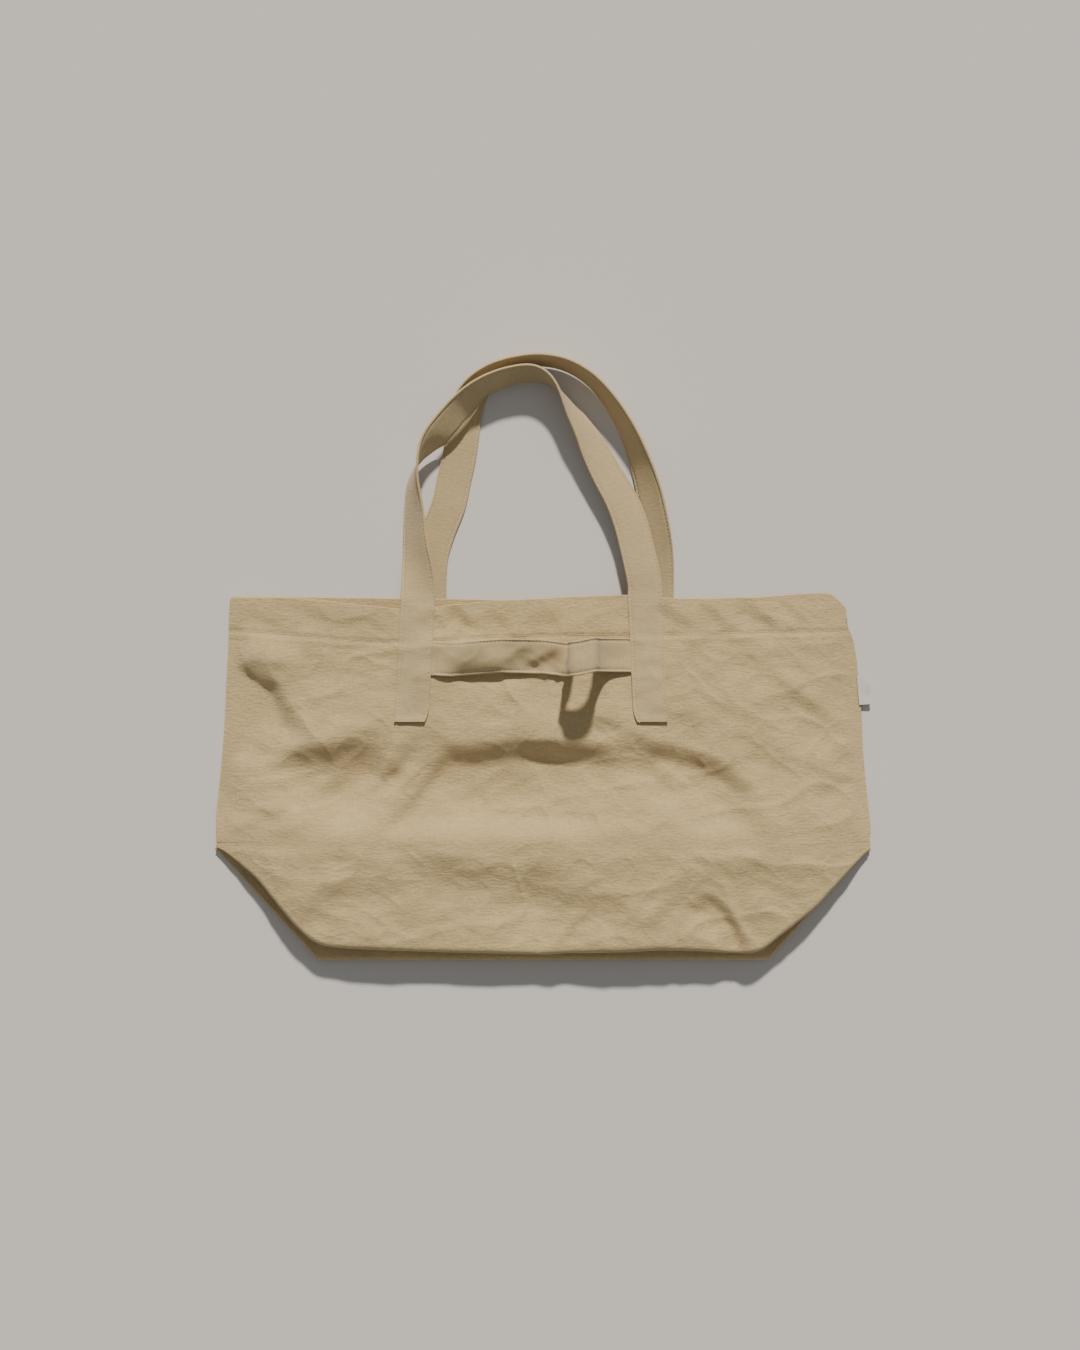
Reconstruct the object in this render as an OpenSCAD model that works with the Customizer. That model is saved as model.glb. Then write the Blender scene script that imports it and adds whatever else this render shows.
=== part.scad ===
// Beach bag: a large cotton canvas tote with a boxed base, lying flat on its back.
// X runs across the bag, +Y runs from the base to the handles, +Z points up out of the front.
// The origin is at the middle of the box that the whole bag fills, on the surface it lies on.
// The base is folded up between the front and the back, as it is when the bag is empty.

/* [Body] */
// Height from the base fold to the mouth
bag_height = 340; // [320:1:360]
// Width of the mouth, laid flat
mouth_width = 580; // [560:2:600]
// Width at the top of the folded corners, laid flat
widest = 617; // [605:1:640]
// Width of the base
base_width = 424; // [400:2:440]
// Half of the depth of the boxed base
base_half_depth = 105; // [95:1:110]
// Thickness of the canvas
cloth = 1.2; // [0.8:0.1:1.5]

/* [How it lies] */
// Height of the front panel's face at the mouth
mouth_z = 16; // [15:0.5:20]
// Height of the front panel's face over the folded base
fold_z = 33; // [30:1:38]
// Height of the front panel's face along the side seams
seam_z = 8; // [7.5:0.5:9]
// How far the front base fold lies short of the back one
front_short = 11; // [8:1:14]
// Width of the band that rounds down to each side seam
side_band = 110; // [90:5:120]

/* [Hems] */
// Depth of the folded hem at the mouth
hem_depth = 34; // [28:1:40]

/* [Handles] */
// Width of the handles and of the front strap
strap_width = 32; // [28:1:34]
// Thickness of the handles and of the front strap
strap_thick = 2.4; // [1.8:0.1:2.8]
// Distance between the two ends of one handle, centre to centre
handle_spacing = 215; // [210:1:220]
// Sideways offset of the front handle
front_shift = -9.5; // [-12:0.5:0]
// Length of each handle end that is sewn to its panel
sewn_length = 115; // [90:1:120]
// Height of the handles above the mouth
handle_drop = 228; // [228:1:236]

/* [Front strap] */
// Distance from the mouth to the middle of the strap
strap_from_mouth = 56; // [50:1:60]

/* [Label] */
// Height of the side label
label_height = 28; // [20:1:32]
// How far the label stands out of the side seam
label_out = 10.7; // [8:0.1:11]

/* [Hidden] */

canvas_colour = [0.76, 0.69, 0.55];
thread_colour = [0.82, 0.76, 0.63];
binding_colour = [0.80, 0.74, 0.62];
label_colour = [0.90, 0.89, 0.86];

// The whole bag, handles included, is centred on the origin along Y.
total_length = bag_height + handle_drop;
base_y = -total_length / 2;
mouth_y = base_y + bag_height;
corner_y = base_y + base_half_depth;
bend_y = corner_y + 7; // the front bends over the base's pockets a little above their tips
front_base_y = base_y + front_short;

half_mouth = mouth_width / 2;
half_widest = widest / 2;
half_base = base_width / 2;

// The front panel's face falls from the folded base to the mouth at this slope.
front_run = mouth_y - bend_y;
front_rise = (fold_z - mouth_z) / front_run;
front_angle = atan(front_rise);

layer_gap = 0.05;  // between layers that are sewn together
joint_gap = 0.3;   // between bodies that move apart
thread_width = 0.8;
thread_height = 0.5;
stitch_inset = 2.5; // from a strap's edge to its stitching
stitch_line = strap_width / 2 - stitch_inset;
stitch_edges = [stitch_line - thread_width / 2, stitch_line + thread_width / 2];
seam_width = 10;
seam_thick = 1.6;
hem_inset = seam_width + 1; // the hems stop short of the side seams

// Towards the mouth the back panel lies on the back handle's ends.
back_ramp = 16;
back_raise_y = mouth_y - sewn_length - back_ramp - 5;

// The two pockets of the folded base, one on the other.
back_pocket_high = 11;
back_tip_high = 5;
front_pocket_low = 17;
front_tip_low = seam_z - cloth;
front_tip_high = seam_z + 5;
front_pocket_inset = 6; // how far the front pocket lies inside the back one at each side
tip_length = 3;
corner_seam_inset = 15; // from a pocket's fold to the end of its corner seams
back_corner_seam_z = 6;
front_corner_seam_z = 19.4;
base_seam_z = 9.8;
base_seam_size = [base_width, 8, 6.4];

front_left_x = front_shift - handle_spacing / 2;
front_right_x = front_shift + handle_spacing / 2;
back_right_x = handle_spacing / 2;
strap_local_y = -strap_from_mouth;
tab_length = 22;
tab_thick = cloth;

label_y = mouth_y - 86;
label_thick = 1;
label_z = 4.6;
label_overlap = 1; // what the seam takes of the label's depth

// Routes of the two handle loops, from their left end to their right end. Each station is
// [distance from the handle's middle, distance beyond the mouth, height, tilt]: at tilt 0 the
// strap lies flat, at 90 or -90 it stands on edge. They are drawn for the three sizes below.
drawn_spacing = 215;
drawn_drop = 228;
drawn_mouth_z = 16;
function placed(stations, shift, raise) = [for (s = stations) [
  shift + s[0] * handle_spacing / drawn_spacing, mouth_y + s[1] * handle_drop / drawn_drop,
  s[2] + raise, s[3]
]];
front_route = placed([
  [-107.5, 0.5, 17.3, 0], [-107.5, 12, 17, -8], [-108.5, 28, 16.2, -24], [-109.5, 50, 16, -42],
  [-111.5, 83, 17.5, -54], [-111.5, 107, 19.5, -68], [-106.5, 128, 22, -90],
  [-97.5, 144, 22, -116], [-85.5, 157, 22.5, -136], [-67.5, 178, 22.5, -134],
  [-49.5, 196, 21.5, -118], [-28.5, 206, 20, -116], [-7.5, 210.5, 19.5, -113],
  [7.5, 208.5, 19.5, -106], [21.5, 198.5, 19, -90], [38.5, 174, 17, -63],
  [48.5, 157.5, 15.5, -50], [58, 139, 14, -34], [70.5, 115.5, 13.5, -24], [83.5, 92, 14, -18],
  [93.5, 69, 15, -11], [100.5, 45.5, 16, -8], [105.5, 24, 16.8, -4], [107.5, 12, 17.2, -1],
  [107.5, 0.5, 17.3, 0]
], front_shift, mouth_z - drawn_mouth_z);
back_route = placed([
  [-107, 0.5, 1.25, 0], [-107, 14, 1.3, 0], [-105, 42, 1.5, 0], [-98, 66, 1.6, 0],
  [-89, 89, 1.6, 0], [-84, 112, 1.6, 0], [-79, 135, 1.8, 1], [-76, 156, 2.5, 3],
  [-74, 172, 4.4, 10], [-69, 187, 9, 28], [-60, 201, 13.4, 48], [-46, 213, 16.5, 66],
  [-25, 221, 17.2, 75], [-2, 223.7, 17.4, 78], [22, 219, 17.3, 77], [44, 206, 17.1, 75],
  [62, 186, 16.8, 71], [78, 160, 16.2, 65], [90, 132, 15.2, 57], [99, 103, 13.4, 47],
  [104, 72, 10, 31], [107, 42, 5.2, 12], [107.5, 16, 2.1, 0], [107.5, 0.5, 1.25, 0]
], 0, 0);
// The front strap's free span lies on the panel and its slack stands up as a loop.
// Each station is [distance from the handle's middle, height above the panel].
strap_stations = [
  [-91, 2.2], [-76.5, 2.8], [-56.5, 4.4], [-34.5, 4.8], [-10.5, 3.4], [9.5, 2.4], [23.5, 2.4],
  [30.5, 3.8], [33.5, 11], [33, 23], [32.5, 35], [33.5, 43], [37.5, 46.5], [42, 43], [45.5, 35],
  [50.5, 26], [57, 18], [66, 11.5], [77, 6.5], [85.5, 3.6], [91, 2.4]
];
strap_reach = (handle_spacing - strap_width - 1) / (drawn_spacing - 33);
strap_route = [for (s = strap_stations) [front_shift + s[0] * strap_reach, s[1]]];

ring_steps = 3; // rings of a strap from one station to the next

// Points between the stations of a route, on one smooth curve.
function between(a, b, c, d, t) =
  0.5 * (2 * b + (c - a) * t + (2 * a - 5 * b + 4 * c - d) * t * t
  + (3 * b - a - 3 * c + d) * t * t * t);
function station(route, i) = route[max(0, min(len(route) - 1, i))];
function along(route, s) =
  let (i = min(floor(s), len(route) - 2))
  between(station(route, i - 1), station(route, i), station(route, i + 1), station(route, i + 2), s - i);
function unit(v) = v / norm(v);
function spots(route, steps) = [for (k = [0 : (len(route) - 1) * steps]) k / steps];

// A frame is [centre, direction across the strap, direction out of its face].
function heading(route, s) =
  along(route, min(len(route) - 1, s + 0.02)) - along(route, max(0, s - 0.02));
function loop_frame(route, s) =
  let (
    here = along(route, s),
    way = heading(route, s),
    forward = unit([way[0], way[1], way[2]]),
    outward = unit([-forward[1], forward[0], 0]),
    tilted = cos(here[3]) * outward + [0, 0, sin(here[3])],
    across = unit(tilted - (tilted * forward) * forward)
  )
  [[here[0], here[1], here[2]], across, cross(forward, across)];
function strap_frame(route, s) =
  let (here = along(route, s), way = heading(route, s), forward = unit([way[0], 0, way[1]]))
  [[here[0], 0, here[1]], [0, 1, 0], cross(forward, [0, 1, 0])];

// A flat band of the given width and thickness that follows the frames. Its faces are split at
// the given distances from its middle, so that a thread can lie close on a strap that twists.
module band(frames, width, thick, aside = 0, above = 0, splits = []) {
  cuts = concat([-width / 2], splits, [width / 2]);
  outline = concat([for (c = cuts) [c, -thick / 2]],
    [for (k = [len(cuts) - 1 : -1 : 0]) [cuts[k], thick / 2]]);
  n = len(outline);
  points = [for (f = frames, c = outline) f[0] + (aside + c[0]) * f[1] + (above + c[1]) * f[2]];
  sides = [for (i = [0 : len(frames) - 2], k = [0 : n - 1], half = [0, 1])
    let (a = n * i + k, b = n * i + (k + 1) % n)
    half == 0 ? [a, a + n, b + n] : [a, b + n, b]];
  last = n * (len(frames) - 1);
  ends = [[for (k = [0 : n - 1]) k], [for (k = [n - 1 : -1 : 0]) last + k]];
  polyhedron(points, concat(sides, ends), convexity = 8);
}

// A sheet of cloth whose upper face is given by a function of two shares from 0 to 1.
module cloth_sheet(face, across, along, thick = cloth) {
  upper = [for (j = [0 : along], i = [0 : across]) face(i / across, j / along)];
  lower = [for (p = upper) p - [0, 0, thick]];
  under = len(upper);
  row = across + 1;
  skins = [for (j = [0 : along - 1], i = [0 : across - 1], part = [0 : 3])
    let (a = j * row + i, b = a + 1, d = a + row, c = d + 1)
    part == 0 ? [a, d, c] : part == 1 ? [a, c, b]
    : part == 2 ? [a + under, c + under, d + under] : [a + under, b + under, c + under]];
  ends = [for (i = [0 : across - 1], side = [0, 1])
    let (a = side * along * row + i, b = a + 1)
    side == 0 ? [a, b, b + under, a + under] : [b, a, a + under, b + under]];
  flanks = [for (j = [0 : along - 1], side = [0, 1])
    let (a = j * row + side * across, d = a + row)
    side == 0 ? [d, a, a + under, d + under] : [a, d, d + under, a + under]];
  polyhedron(concat(upper, lower), concat(skins, ends, flanks), convexity = 6);
}

// Half of the bag's width at a height, above the folded corners.
function half_width(y) = half_mouth + (half_widest - half_mouth) * (mouth_y - y) / (mouth_y - corner_y);
// Height of the front panel's face: a plane that rounds down to the side seams.
function front_plane(y) = mouth_z + (mouth_y - y) * front_rise;
function front_face(x, y) =
  let (from_seam = max(0, half_width(y) - abs(x)), rounded = sin(90 * min(1, from_seam / side_band)))
  seam_z + (front_plane(y) - seam_z) * rounded;
// A share across the panel, with more of the steps in the rounded bands.
function across_share(u) = let (c = 2 * u - 1) sign(c) * (1 - pow(1 - abs(c), 1.6));

// Places children on the front panel: +Y to the mouth, +Z out of its face, origin at the mouth.
module on_front() {
  translate([0, mouth_y, mouth_z]) rotate([-front_angle, 0, 0]) children();
}

// A flat outline given in X and Y, between two heights.
module plate(outline, low, high) {
  translate([0, 0, low]) linear_extrude(high - low) polygon(outline);
}

// A layer of the back: it lies on the floor, and near the mouth on the handle ends.
module back_layer(low, high) {
  rotate([90, 0, 90]) linear_extrude(widest + 20, center = true)
    polygon([
      [base_y - 1, low], [back_raise_y, low],
      [back_raise_y + back_ramp, low + strap_thick], [mouth_y + 1, low + strap_thick],
      [mouth_y + 1, high + strap_thick], [back_raise_y + back_ramp, high + strap_thick],
      [back_raise_y, high], [base_y - 1, high]
    ]);
}

// One half of the folded-up base: a flattened pocket that opens towards the mouth and narrows
// to a tip at each side. A skin gives the shape of its inside.
module fold_profile(low, high, fold_y, open_y, skin) {
  middle = (low + high) / 2;
  outer_r = (high - low) / 2;
  translate([fold_y + outer_r, middle]) circle(outer_r - skin, $fn = 24);
  translate([fold_y + outer_r, low + skin])
    square([open_y - fold_y - outer_r + 2 * skin, high - low - 2 * skin]);
}
module fold_pocket(low, high, fold_y, open_y, half_fold, half_open, tip_low, tip_high, skin) {
  tip_r = (tip_high - tip_low) / 2;
  rotate([90, 0, 90]) linear_extrude(2 * half_fold, center = true)
    fold_profile(low, high, fold_y, open_y, skin);
  for (side = [-1, 1]) hull() {
    translate([side * (half_fold - 0.5), 0, 0]) rotate([90, 0, 90]) linear_extrude(1, center = true)
      fold_profile(low, high, fold_y, open_y, skin);
    translate([side * (half_open - tip_r), open_y - tip_length, (tip_low + tip_high) / 2])
      rotate([-90, 0, 0]) cylinder(h = tip_length + 2 * skin, r = tip_r - skin, $fn = 12);
  }
}

module back_panel() {
  color(canvas_colour) intersection() {
    back_layer(0, cloth);
    plate([
      [-half_widest, corner_y], [half_widest, corner_y],
      [half_mouth, mouth_y], [-half_mouth, mouth_y]
    ], -1, mouth_z);
  }
}

module back_pocket(skin) {
  fold_pocket(0, back_pocket_high, base_y, corner_y, half_base, half_widest, 0, back_tip_high, skin);
}
module back_base_panel() {
  color(canvas_colour) difference() {
    back_pocket(0);
    back_pocket(cloth);
  }
}

module back_hem() {
  color(canvas_colour) intersection() {
    back_layer(cloth + layer_gap, 2 * cloth);
    translate([hem_inset - half_mouth, mouth_y - hem_depth, 0])
      cube([mouth_width - 2 * hem_inset, hem_depth, mouth_z]);
  }
}

module back_hem_stitching() {
  color(thread_colour)
    translate([hem_inset - half_mouth, mouth_y - hem_depth + stitch_inset,
      strap_thick + 2 * cloth + layer_gap])
      cube([mouth_width - 2 * hem_inset, thread_width, thread_height]);
}

// A side seam: the bound edges of the front and back, turned inwards.
module side_seam(side) {
  top_z = seam_z - cloth - joint_gap;
  color(binding_colour) intersection() {
    back_layer(cloth + layer_gap, mouth_z);
    mirror([side < 0 ? 1 : 0, 0, 0])
      plate([
        [half_widest - seam_width, corner_y + 1], [half_widest, corner_y + 1],
        [half_mouth, mouth_y], [half_mouth - seam_width, mouth_y]
      ], 0, top_z);
  }
}
module left_side_seam() { side_seam(-1); }
module right_side_seam() { side_seam(1); }

// A seam across the folded corner of the base, inside one fold of the pocket.
module corner_seam(side, fold_y, open_y, z) {
  from_y = fold_y + corner_seam_inset;
  color(binding_colour) mirror([side < 0 ? 1 : 0, 0, 0])
    translate([half_base - seam_width, from_y, z]) cube([seam_width, open_y - 2 - from_y, seam_thick]);
}
module back_corner_seam(side) { corner_seam(side, base_y, corner_y, back_corner_seam_z); }
module front_corner_seam(side) { corner_seam(side, front_base_y, bend_y, front_corner_seam_z); }
module back_left_corner_seam() { back_corner_seam(-1); }
module back_right_corner_seam() { back_corner_seam(1); }
module front_left_corner_seam() { front_corner_seam(-1); }
module front_right_corner_seam() { front_corner_seam(1); }

module base_centre_seam() {
  color(binding_colour)
    translate([-half_base, corner_y + joint_gap, base_seam_z]) cube(base_seam_size);
}

// One end of the back handle, sewn to the outside of the back panel.
module back_handle_end(x) {
  color(canvas_colour)
    translate([x - strap_width / 2, mouth_y - sewn_length, 0])
      cube([strap_width, sewn_length, strap_thick - layer_gap]);
}
module back_handle_left_end() { back_handle_end(-back_right_x); }
module back_handle_right_end() { back_handle_end(back_right_x); }

// Thread round the edge of a sewn end, with a row across it below the mouth.
module end_stitching(z) {
  long = sewn_length - 2 * stitch_inset;
  wide = strap_width - 2 * stitch_inset;
  color(thread_colour) translate([-wide / 2, -sewn_length + stitch_inset, z]) difference() {
    cube([wide, long, thread_height]);
    translate([thread_width, thread_width, -1])
      cube([wide - 2 * thread_width, long - 2 * thread_width, thread_height + 2]);
  }
}
// On the back the thread lies on the panel's inner face, where the seam comes through.
module back_end_stitching(x) {
  translate([x, mouth_y - hem_depth - 1, strap_thick + cloth]) intersection() {
    end_stitching(layer_gap);
    translate([-strap_width, back_raise_y + back_ramp - mouth_y + hem_depth + 3, -1])
      cube([2 * strap_width, sewn_length, 4]);
  }
}
module back_left_end_stitching() { back_end_stitching(-back_right_x); }
module back_right_end_stitching() { back_end_stitching(back_right_x); }

module front_panel() {
  color(canvas_colour) cloth_sheet(function(u, v)
    let (y = bend_y + v * front_run, x = across_share(u) * half_width(y)) [x, y, front_face(x, y)], 32, 6);
}

module front_hem() {
  color(canvas_colour) cloth_sheet(function(u, v)
    let (
      y = mouth_y - hem_depth * (1 - v),
      x = across_share(u) * (half_width(y) - hem_inset)
    )
    [x, y, front_face(x, y) - cloth - 3 * layer_gap], 32, 1, cloth - 3 * layer_gap);
}

// The row passes under the handle ends, where nothing of it shows.
module front_hem_stitching() {
  y = mouth_y - hem_depth + stitch_inset;
  color(thread_colour) difference() {
    cloth_sheet(function(u, v)
      let (x = across_share(u) * (half_mouth - seam_width), row = y + v * thread_width)
      [x, row, front_face(x, row) + thread_height + 2 * layer_gap], 32, 1, thread_height);
    for (x = [front_left_x, front_right_x])
      translate([x - strap_width / 2 - 1, y - 1, mouth_z]) cube([strap_width + 2, 4, 6]);
  }
}

// One end of the front handle. Its underside has room for the tab of the front strap.
module front_handle_end(x) {
  color(canvas_colour) on_front() difference() {
    translate([x - strap_width / 2, -sewn_length, layer_gap])
      cube([strap_width, sewn_length - 0.2, strap_thick]);
    translate([x - strap_width, strap_local_y - strap_width / 2 - layer_gap, -1])
      cube([2 * strap_width, strap_width + 2 * layer_gap, 1 + tab_thick + 2 * layer_gap]);
  }
}
module front_handle_left_end() { front_handle_end(front_left_x); }
module front_handle_right_end() { front_handle_end(front_right_x); }

module front_end_stitching(x) {
  on_front() translate([x, 0, strap_thick + 2 * layer_gap]) end_stitching(0);
}
module front_left_end_stitching() { front_end_stitching(front_left_x); }
module front_right_end_stitching() { front_end_stitching(front_right_x); }

// The ends of the front strap, caught under the handle ends.
module strap_tab(from_x) {
  color(canvas_colour) on_front()
    translate([from_x, strap_local_y - strap_width / 2, layer_gap])
      cube([tab_length, strap_width, tab_thick]);
}
module front_strap_left_tab() { strap_tab(front_left_x + strap_width / 2 - tab_length); }
module front_strap_right_tab() { strap_tab(front_right_x - strap_width / 2); }

module front_pocket(skin) {
  fold_pocket(front_pocket_low, fold_z, front_base_y, bend_y - joint_gap,
    half_base - front_pocket_inset, half_widest - front_pocket_inset,
    front_tip_low, front_tip_high, skin);
}
module front_base_panel() {
  color(canvas_colour) difference() {
    front_pocket(0);
    front_pocket(cloth);
  }
}

module handle_band(route) {
  splits = concat([-stitch_edges[1], -stitch_edges[0]], stitch_edges);
  color(canvas_colour) band([for (s = spots(route, ring_steps)) loop_frame(route, s)],
    strap_width, strap_thick, splits = splits);
}
// The loops' own thread stops short of the hinges at the mouth.
module handle_thread(route) {
  frames = [for (s = spots(route, ring_steps)) if (s > 0.5 && s < len(route) - 1.5) loop_frame(route, s)];
  color(thread_colour) for (side = [-1, 1])
    band(frames, thread_width, thread_height, side * stitch_line,
      (strap_thick + thread_height) / 2 + 3 * layer_gap);
}
module front_handle() { handle_band(front_route); }
module front_handle_stitching() { handle_thread(front_route); }
module back_handle() { handle_band(back_route); }
module back_handle_stitching() { handle_thread(back_route); }

strap_frames = [for (s = spots(strap_route, ring_steps)) strap_frame(strap_route, s)];
module front_strap() {
  color(canvas_colour) on_front() translate([0, strap_local_y, 0])
    band(strap_frames, strap_width, strap_thick);
}
module front_strap_stitching() {
  color(thread_colour) on_front() translate([0, strap_local_y, 0]) for (side = [-1, 1])
    band(strap_frames, thread_width, thread_height, side * stitch_line,
      (strap_thick + thread_height) / 2 + layer_gap);
}

// The label is a folded tape that the right side seam holds. It leans with the seam, and it
// starts just outside the panels, so that it can stand up beside them.
side_angle = atan((half_widest - half_mouth) / (mouth_y - corner_y));
module side_label() {
  round_r = label_thick / 2;
  color(label_colour) translate([half_width(label_y), label_y, label_z]) rotate([0, 0, side_angle])
    rotate([90, 0, 0]) linear_extrude(label_height, center = true) {
      translate([joint_gap, 0])
        square([label_out - label_overlap - joint_gap - round_r, label_thick]);
      translate([label_out - label_overlap - round_r, round_r]) circle(round_r, $fn = 24);
    }
}

back_panel();
back_base_panel();
back_hem();
back_hem_stitching();
left_side_seam();
right_side_seam();
back_left_corner_seam();
back_right_corner_seam();
front_left_corner_seam();
front_right_corner_seam();
base_centre_seam();
back_handle_left_end();
back_handle_right_end();
back_left_end_stitching();
back_right_end_stitching();
front_panel();
front_hem();
front_hem_stitching();
front_handle_left_end();
front_handle_right_end();
front_left_end_stitching();
front_right_end_stitching();
front_strap_left_tab();
front_strap_right_tab();
front_base_panel();
front_handle();
front_handle_stitching();
back_handle();
back_handle_stitching();
front_strap();
front_strap_stitching();
side_label();
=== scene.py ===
"""Beach bag: a large natural canvas tote that lies flat and empty on its back.

Every shape below is worked out in millimetres, and `make_piece` turns it into metres. +X runs
across the bag, +Y from the base to the handles, +Z up.
"""

import math

import bpy
import numpy as np
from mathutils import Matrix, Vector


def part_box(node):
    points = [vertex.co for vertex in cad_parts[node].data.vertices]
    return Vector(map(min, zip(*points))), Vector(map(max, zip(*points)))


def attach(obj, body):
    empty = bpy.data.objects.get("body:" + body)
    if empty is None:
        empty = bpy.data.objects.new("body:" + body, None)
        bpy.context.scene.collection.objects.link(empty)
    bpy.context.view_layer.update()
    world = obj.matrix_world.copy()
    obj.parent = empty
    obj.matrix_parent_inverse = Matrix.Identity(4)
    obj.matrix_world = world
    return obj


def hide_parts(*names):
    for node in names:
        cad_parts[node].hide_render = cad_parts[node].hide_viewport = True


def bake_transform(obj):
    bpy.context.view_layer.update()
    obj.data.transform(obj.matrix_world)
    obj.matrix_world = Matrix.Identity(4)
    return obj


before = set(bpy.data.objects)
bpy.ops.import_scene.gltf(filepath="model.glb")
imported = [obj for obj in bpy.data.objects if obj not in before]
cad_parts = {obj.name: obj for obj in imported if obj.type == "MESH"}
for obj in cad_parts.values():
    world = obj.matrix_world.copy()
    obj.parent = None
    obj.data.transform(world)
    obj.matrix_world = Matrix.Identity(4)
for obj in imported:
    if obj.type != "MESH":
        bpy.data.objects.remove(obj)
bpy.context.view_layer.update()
MM = 0.001

# ---------------------------------------------------------------- camera

CAMERA_HEIGHT = 2.0
VIEW_HEIGHT = 1.262  # what the frame's long side covers, at the height of the panel
PANEL_LEVEL = 0.02

camera_data = bpy.data.cameras.new("camera")
camera_data.sensor_width = 36
camera_data.lens = 36 * (CAMERA_HEIGHT - PANEL_LEVEL) / VIEW_HEIGHT
camera = bpy.data.objects.new("camera", camera_data)
camera.location = (-0.0028, -0.0154, CAMERA_HEIGHT)
bpy.context.scene.collection.objects.link(camera)
bpy.context.scene.camera = camera

# ---------------------------------------------------------------- sizes, from the frame


def corners(node):
    """The lowest and highest corner of a CAD node, in millimetres."""
    low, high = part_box(node)
    return np.array(low) / MM, np.array(high) / MM


panel_low, panel_high = corners("front_panel")
back_fold_low, back_fold_high = corners("back_base_panel")
strap_low, strap_high = corners("front_handle_left_end")

MOUTH_Y = panel_high[1]
BEND_Y = panel_low[1]
FOLD_Z = panel_high[2]
MOUTH_Z = 16.0
BACK_FOLD_Y = back_fold_low[1]
CORNER_Y = back_fold_high[1]
HALF_WIDEST = back_fold_high[0]
HALF_MOUTH = 290.0
HALF_BASE = 212.0
CLOTH = 1.2
STRAP_WIDTH = strap_high[0] - strap_low[0]
STRAP_THICK = 2.4
SEWN_LENGTH = 115.0
HEM_DEPTH = 34.0
SIDE_BAND = 110.0
EDGE_Z = 3.0  # the front's face where it meets the back in the side seam
FRONT_LEFT_X = (strap_low[0] + strap_high[0]) / 2
FRONT_RIGHT_X = FRONT_LEFT_X + 215.0
BACK_END_X = 107.5
STRAP_Y = MOUTH_Y - 56.0
FRONT_LEVEL = MOUTH_Z + STRAP_THICK / 2  # the middle of a strap that lies on the front, at the mouth
BACK_LEVEL = 1.25  # the middle of the back handle's ends, which lie on the ground

# ---------------------------------------------------------------- small tools for shapes


def smooth(t):
    """0 to 1 in a soft step, as t goes from 0 to 1."""
    t = np.clip(t, 0.0, 1.0)
    return t * t * (3 - 2 * t)


def unit(vectors):
    """The same directions, one long."""
    length = np.linalg.norm(vectors, axis=-1, keepdims=True)
    return vectors / np.maximum(length, 1e-9)


def lumps(x, y, size, seed):
    """Soft random lumps from -1 to 1, about size millimetres across."""
    table = np.random.default_rng(seed).uniform(-1, 1, (64, 64))
    gx, gy = x / size + 1000.5, y / size + 1000.5
    ix, iy = np.floor(gx).astype(int), np.floor(gy).astype(int)
    fx, fy = smooth(gx - ix), smooth(gy - iy)

    def at(a, b):
        return table[a % 64, b % 64]

    low = at(ix, iy) * (1 - fx) + at(ix + 1, iy) * fx
    high = at(ix, iy + 1) * (1 - fx) + at(ix + 1, iy + 1) * fx
    return low * (1 - fy) + high * fy


def along_path(x, y, path):
    """Signed distance from a path, positive on its left, and the share of the way from end to end."""
    path = np.array(path, float)
    for _ in range(2):  # cut the corners, so that folds bend and don't break
        near, far = path[:-1] * 0.75 + path[1:] * 0.25, path[:-1] * 0.25 + path[1:] * 0.75
        path = np.concatenate([path[:1], np.stack([near, far], 1).reshape(-1, 2), path[-1:]])
    best = np.full(np.shape(x), 1e9)
    signed = np.zeros(np.shape(x))
    for start, end in zip(path[:-1], path[1:]):
        step = np.hypot(*(end - start))
        dx, dy = (end - start) / step
        t = np.clip((x - start[0]) * dx + (y - start[1]) * dy, 0, step)
        px, py = x - start[0] - t * dx, y - start[1] - t * dy
        distance = np.hypot(px, py)
        nearer = distance < best
        best = np.where(nearer, distance, best)
        signed = np.where(nearer, np.where(dx * py < dy * px, -distance, distance), signed)
    chord = path[-1] - path[0]
    share = ((x - path[0, 0]) * chord[0] + (y - path[0, 1]) * chord[1]) / (chord @ chord)
    return signed, np.clip(share, 0, 1)


def faded(share, ends):
    """1 along a fold, fading to 0 over the given share of its length at each end."""
    return smooth(share / ends) * smooth((1 - share) / ends)


def drop(x, y, path, run, fall, recover, ends=0.25):
    """A fold whose face falls by fall over run millimetres, to the right of the path, and rises again."""
    signed, share = along_path(x, y, path)
    wall = smooth((run / 2 - signed) / run)
    beyond = np.maximum(0, -signed - run / 2)
    return -fall * wall * np.exp(-((beyond / recover) ** 2)) * faded(share, ends)


def ridge(x, y, path, width, height, ends=0.3):
    """A soft crest along a path, or a valley if height is negative."""
    signed, share = along_path(x, y, path)
    return height * np.exp(-((signed / width) ** 2)) * faded(share, ends)


def folded(x, y, folds):
    """The height of several folds together. Each is its kind, its path and that kind's numbers."""
    h = 0.0
    for kind, *numbers in folds:
        h = h + kind(x, y, *numbers)
    return h


# ---------------------------------------------------------------- the lie of the cloth

# The edge of the front's lower fold, from left to right.
FRONT_FOLD_EDGE = [
    (-308, -177), (-303, -180), (-295, -185), (-287, -191), (-268, -206), (-253, -224), (-238, -242),
    (-223, -258), (-210, -267), (-195, -270), (-174, -271), (-126, -273), (-79, -274.5), (-32, -275.5),
    (2, -276.5), (20, -275), (80, -274), (109, -272), (147, -273), (175, -275), (193, -275.5), (206, -272),
    (217, -262), (232, -251), (254, -234), (275, -212), (292, -194), (302, -185), (308, -178)
]
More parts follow.
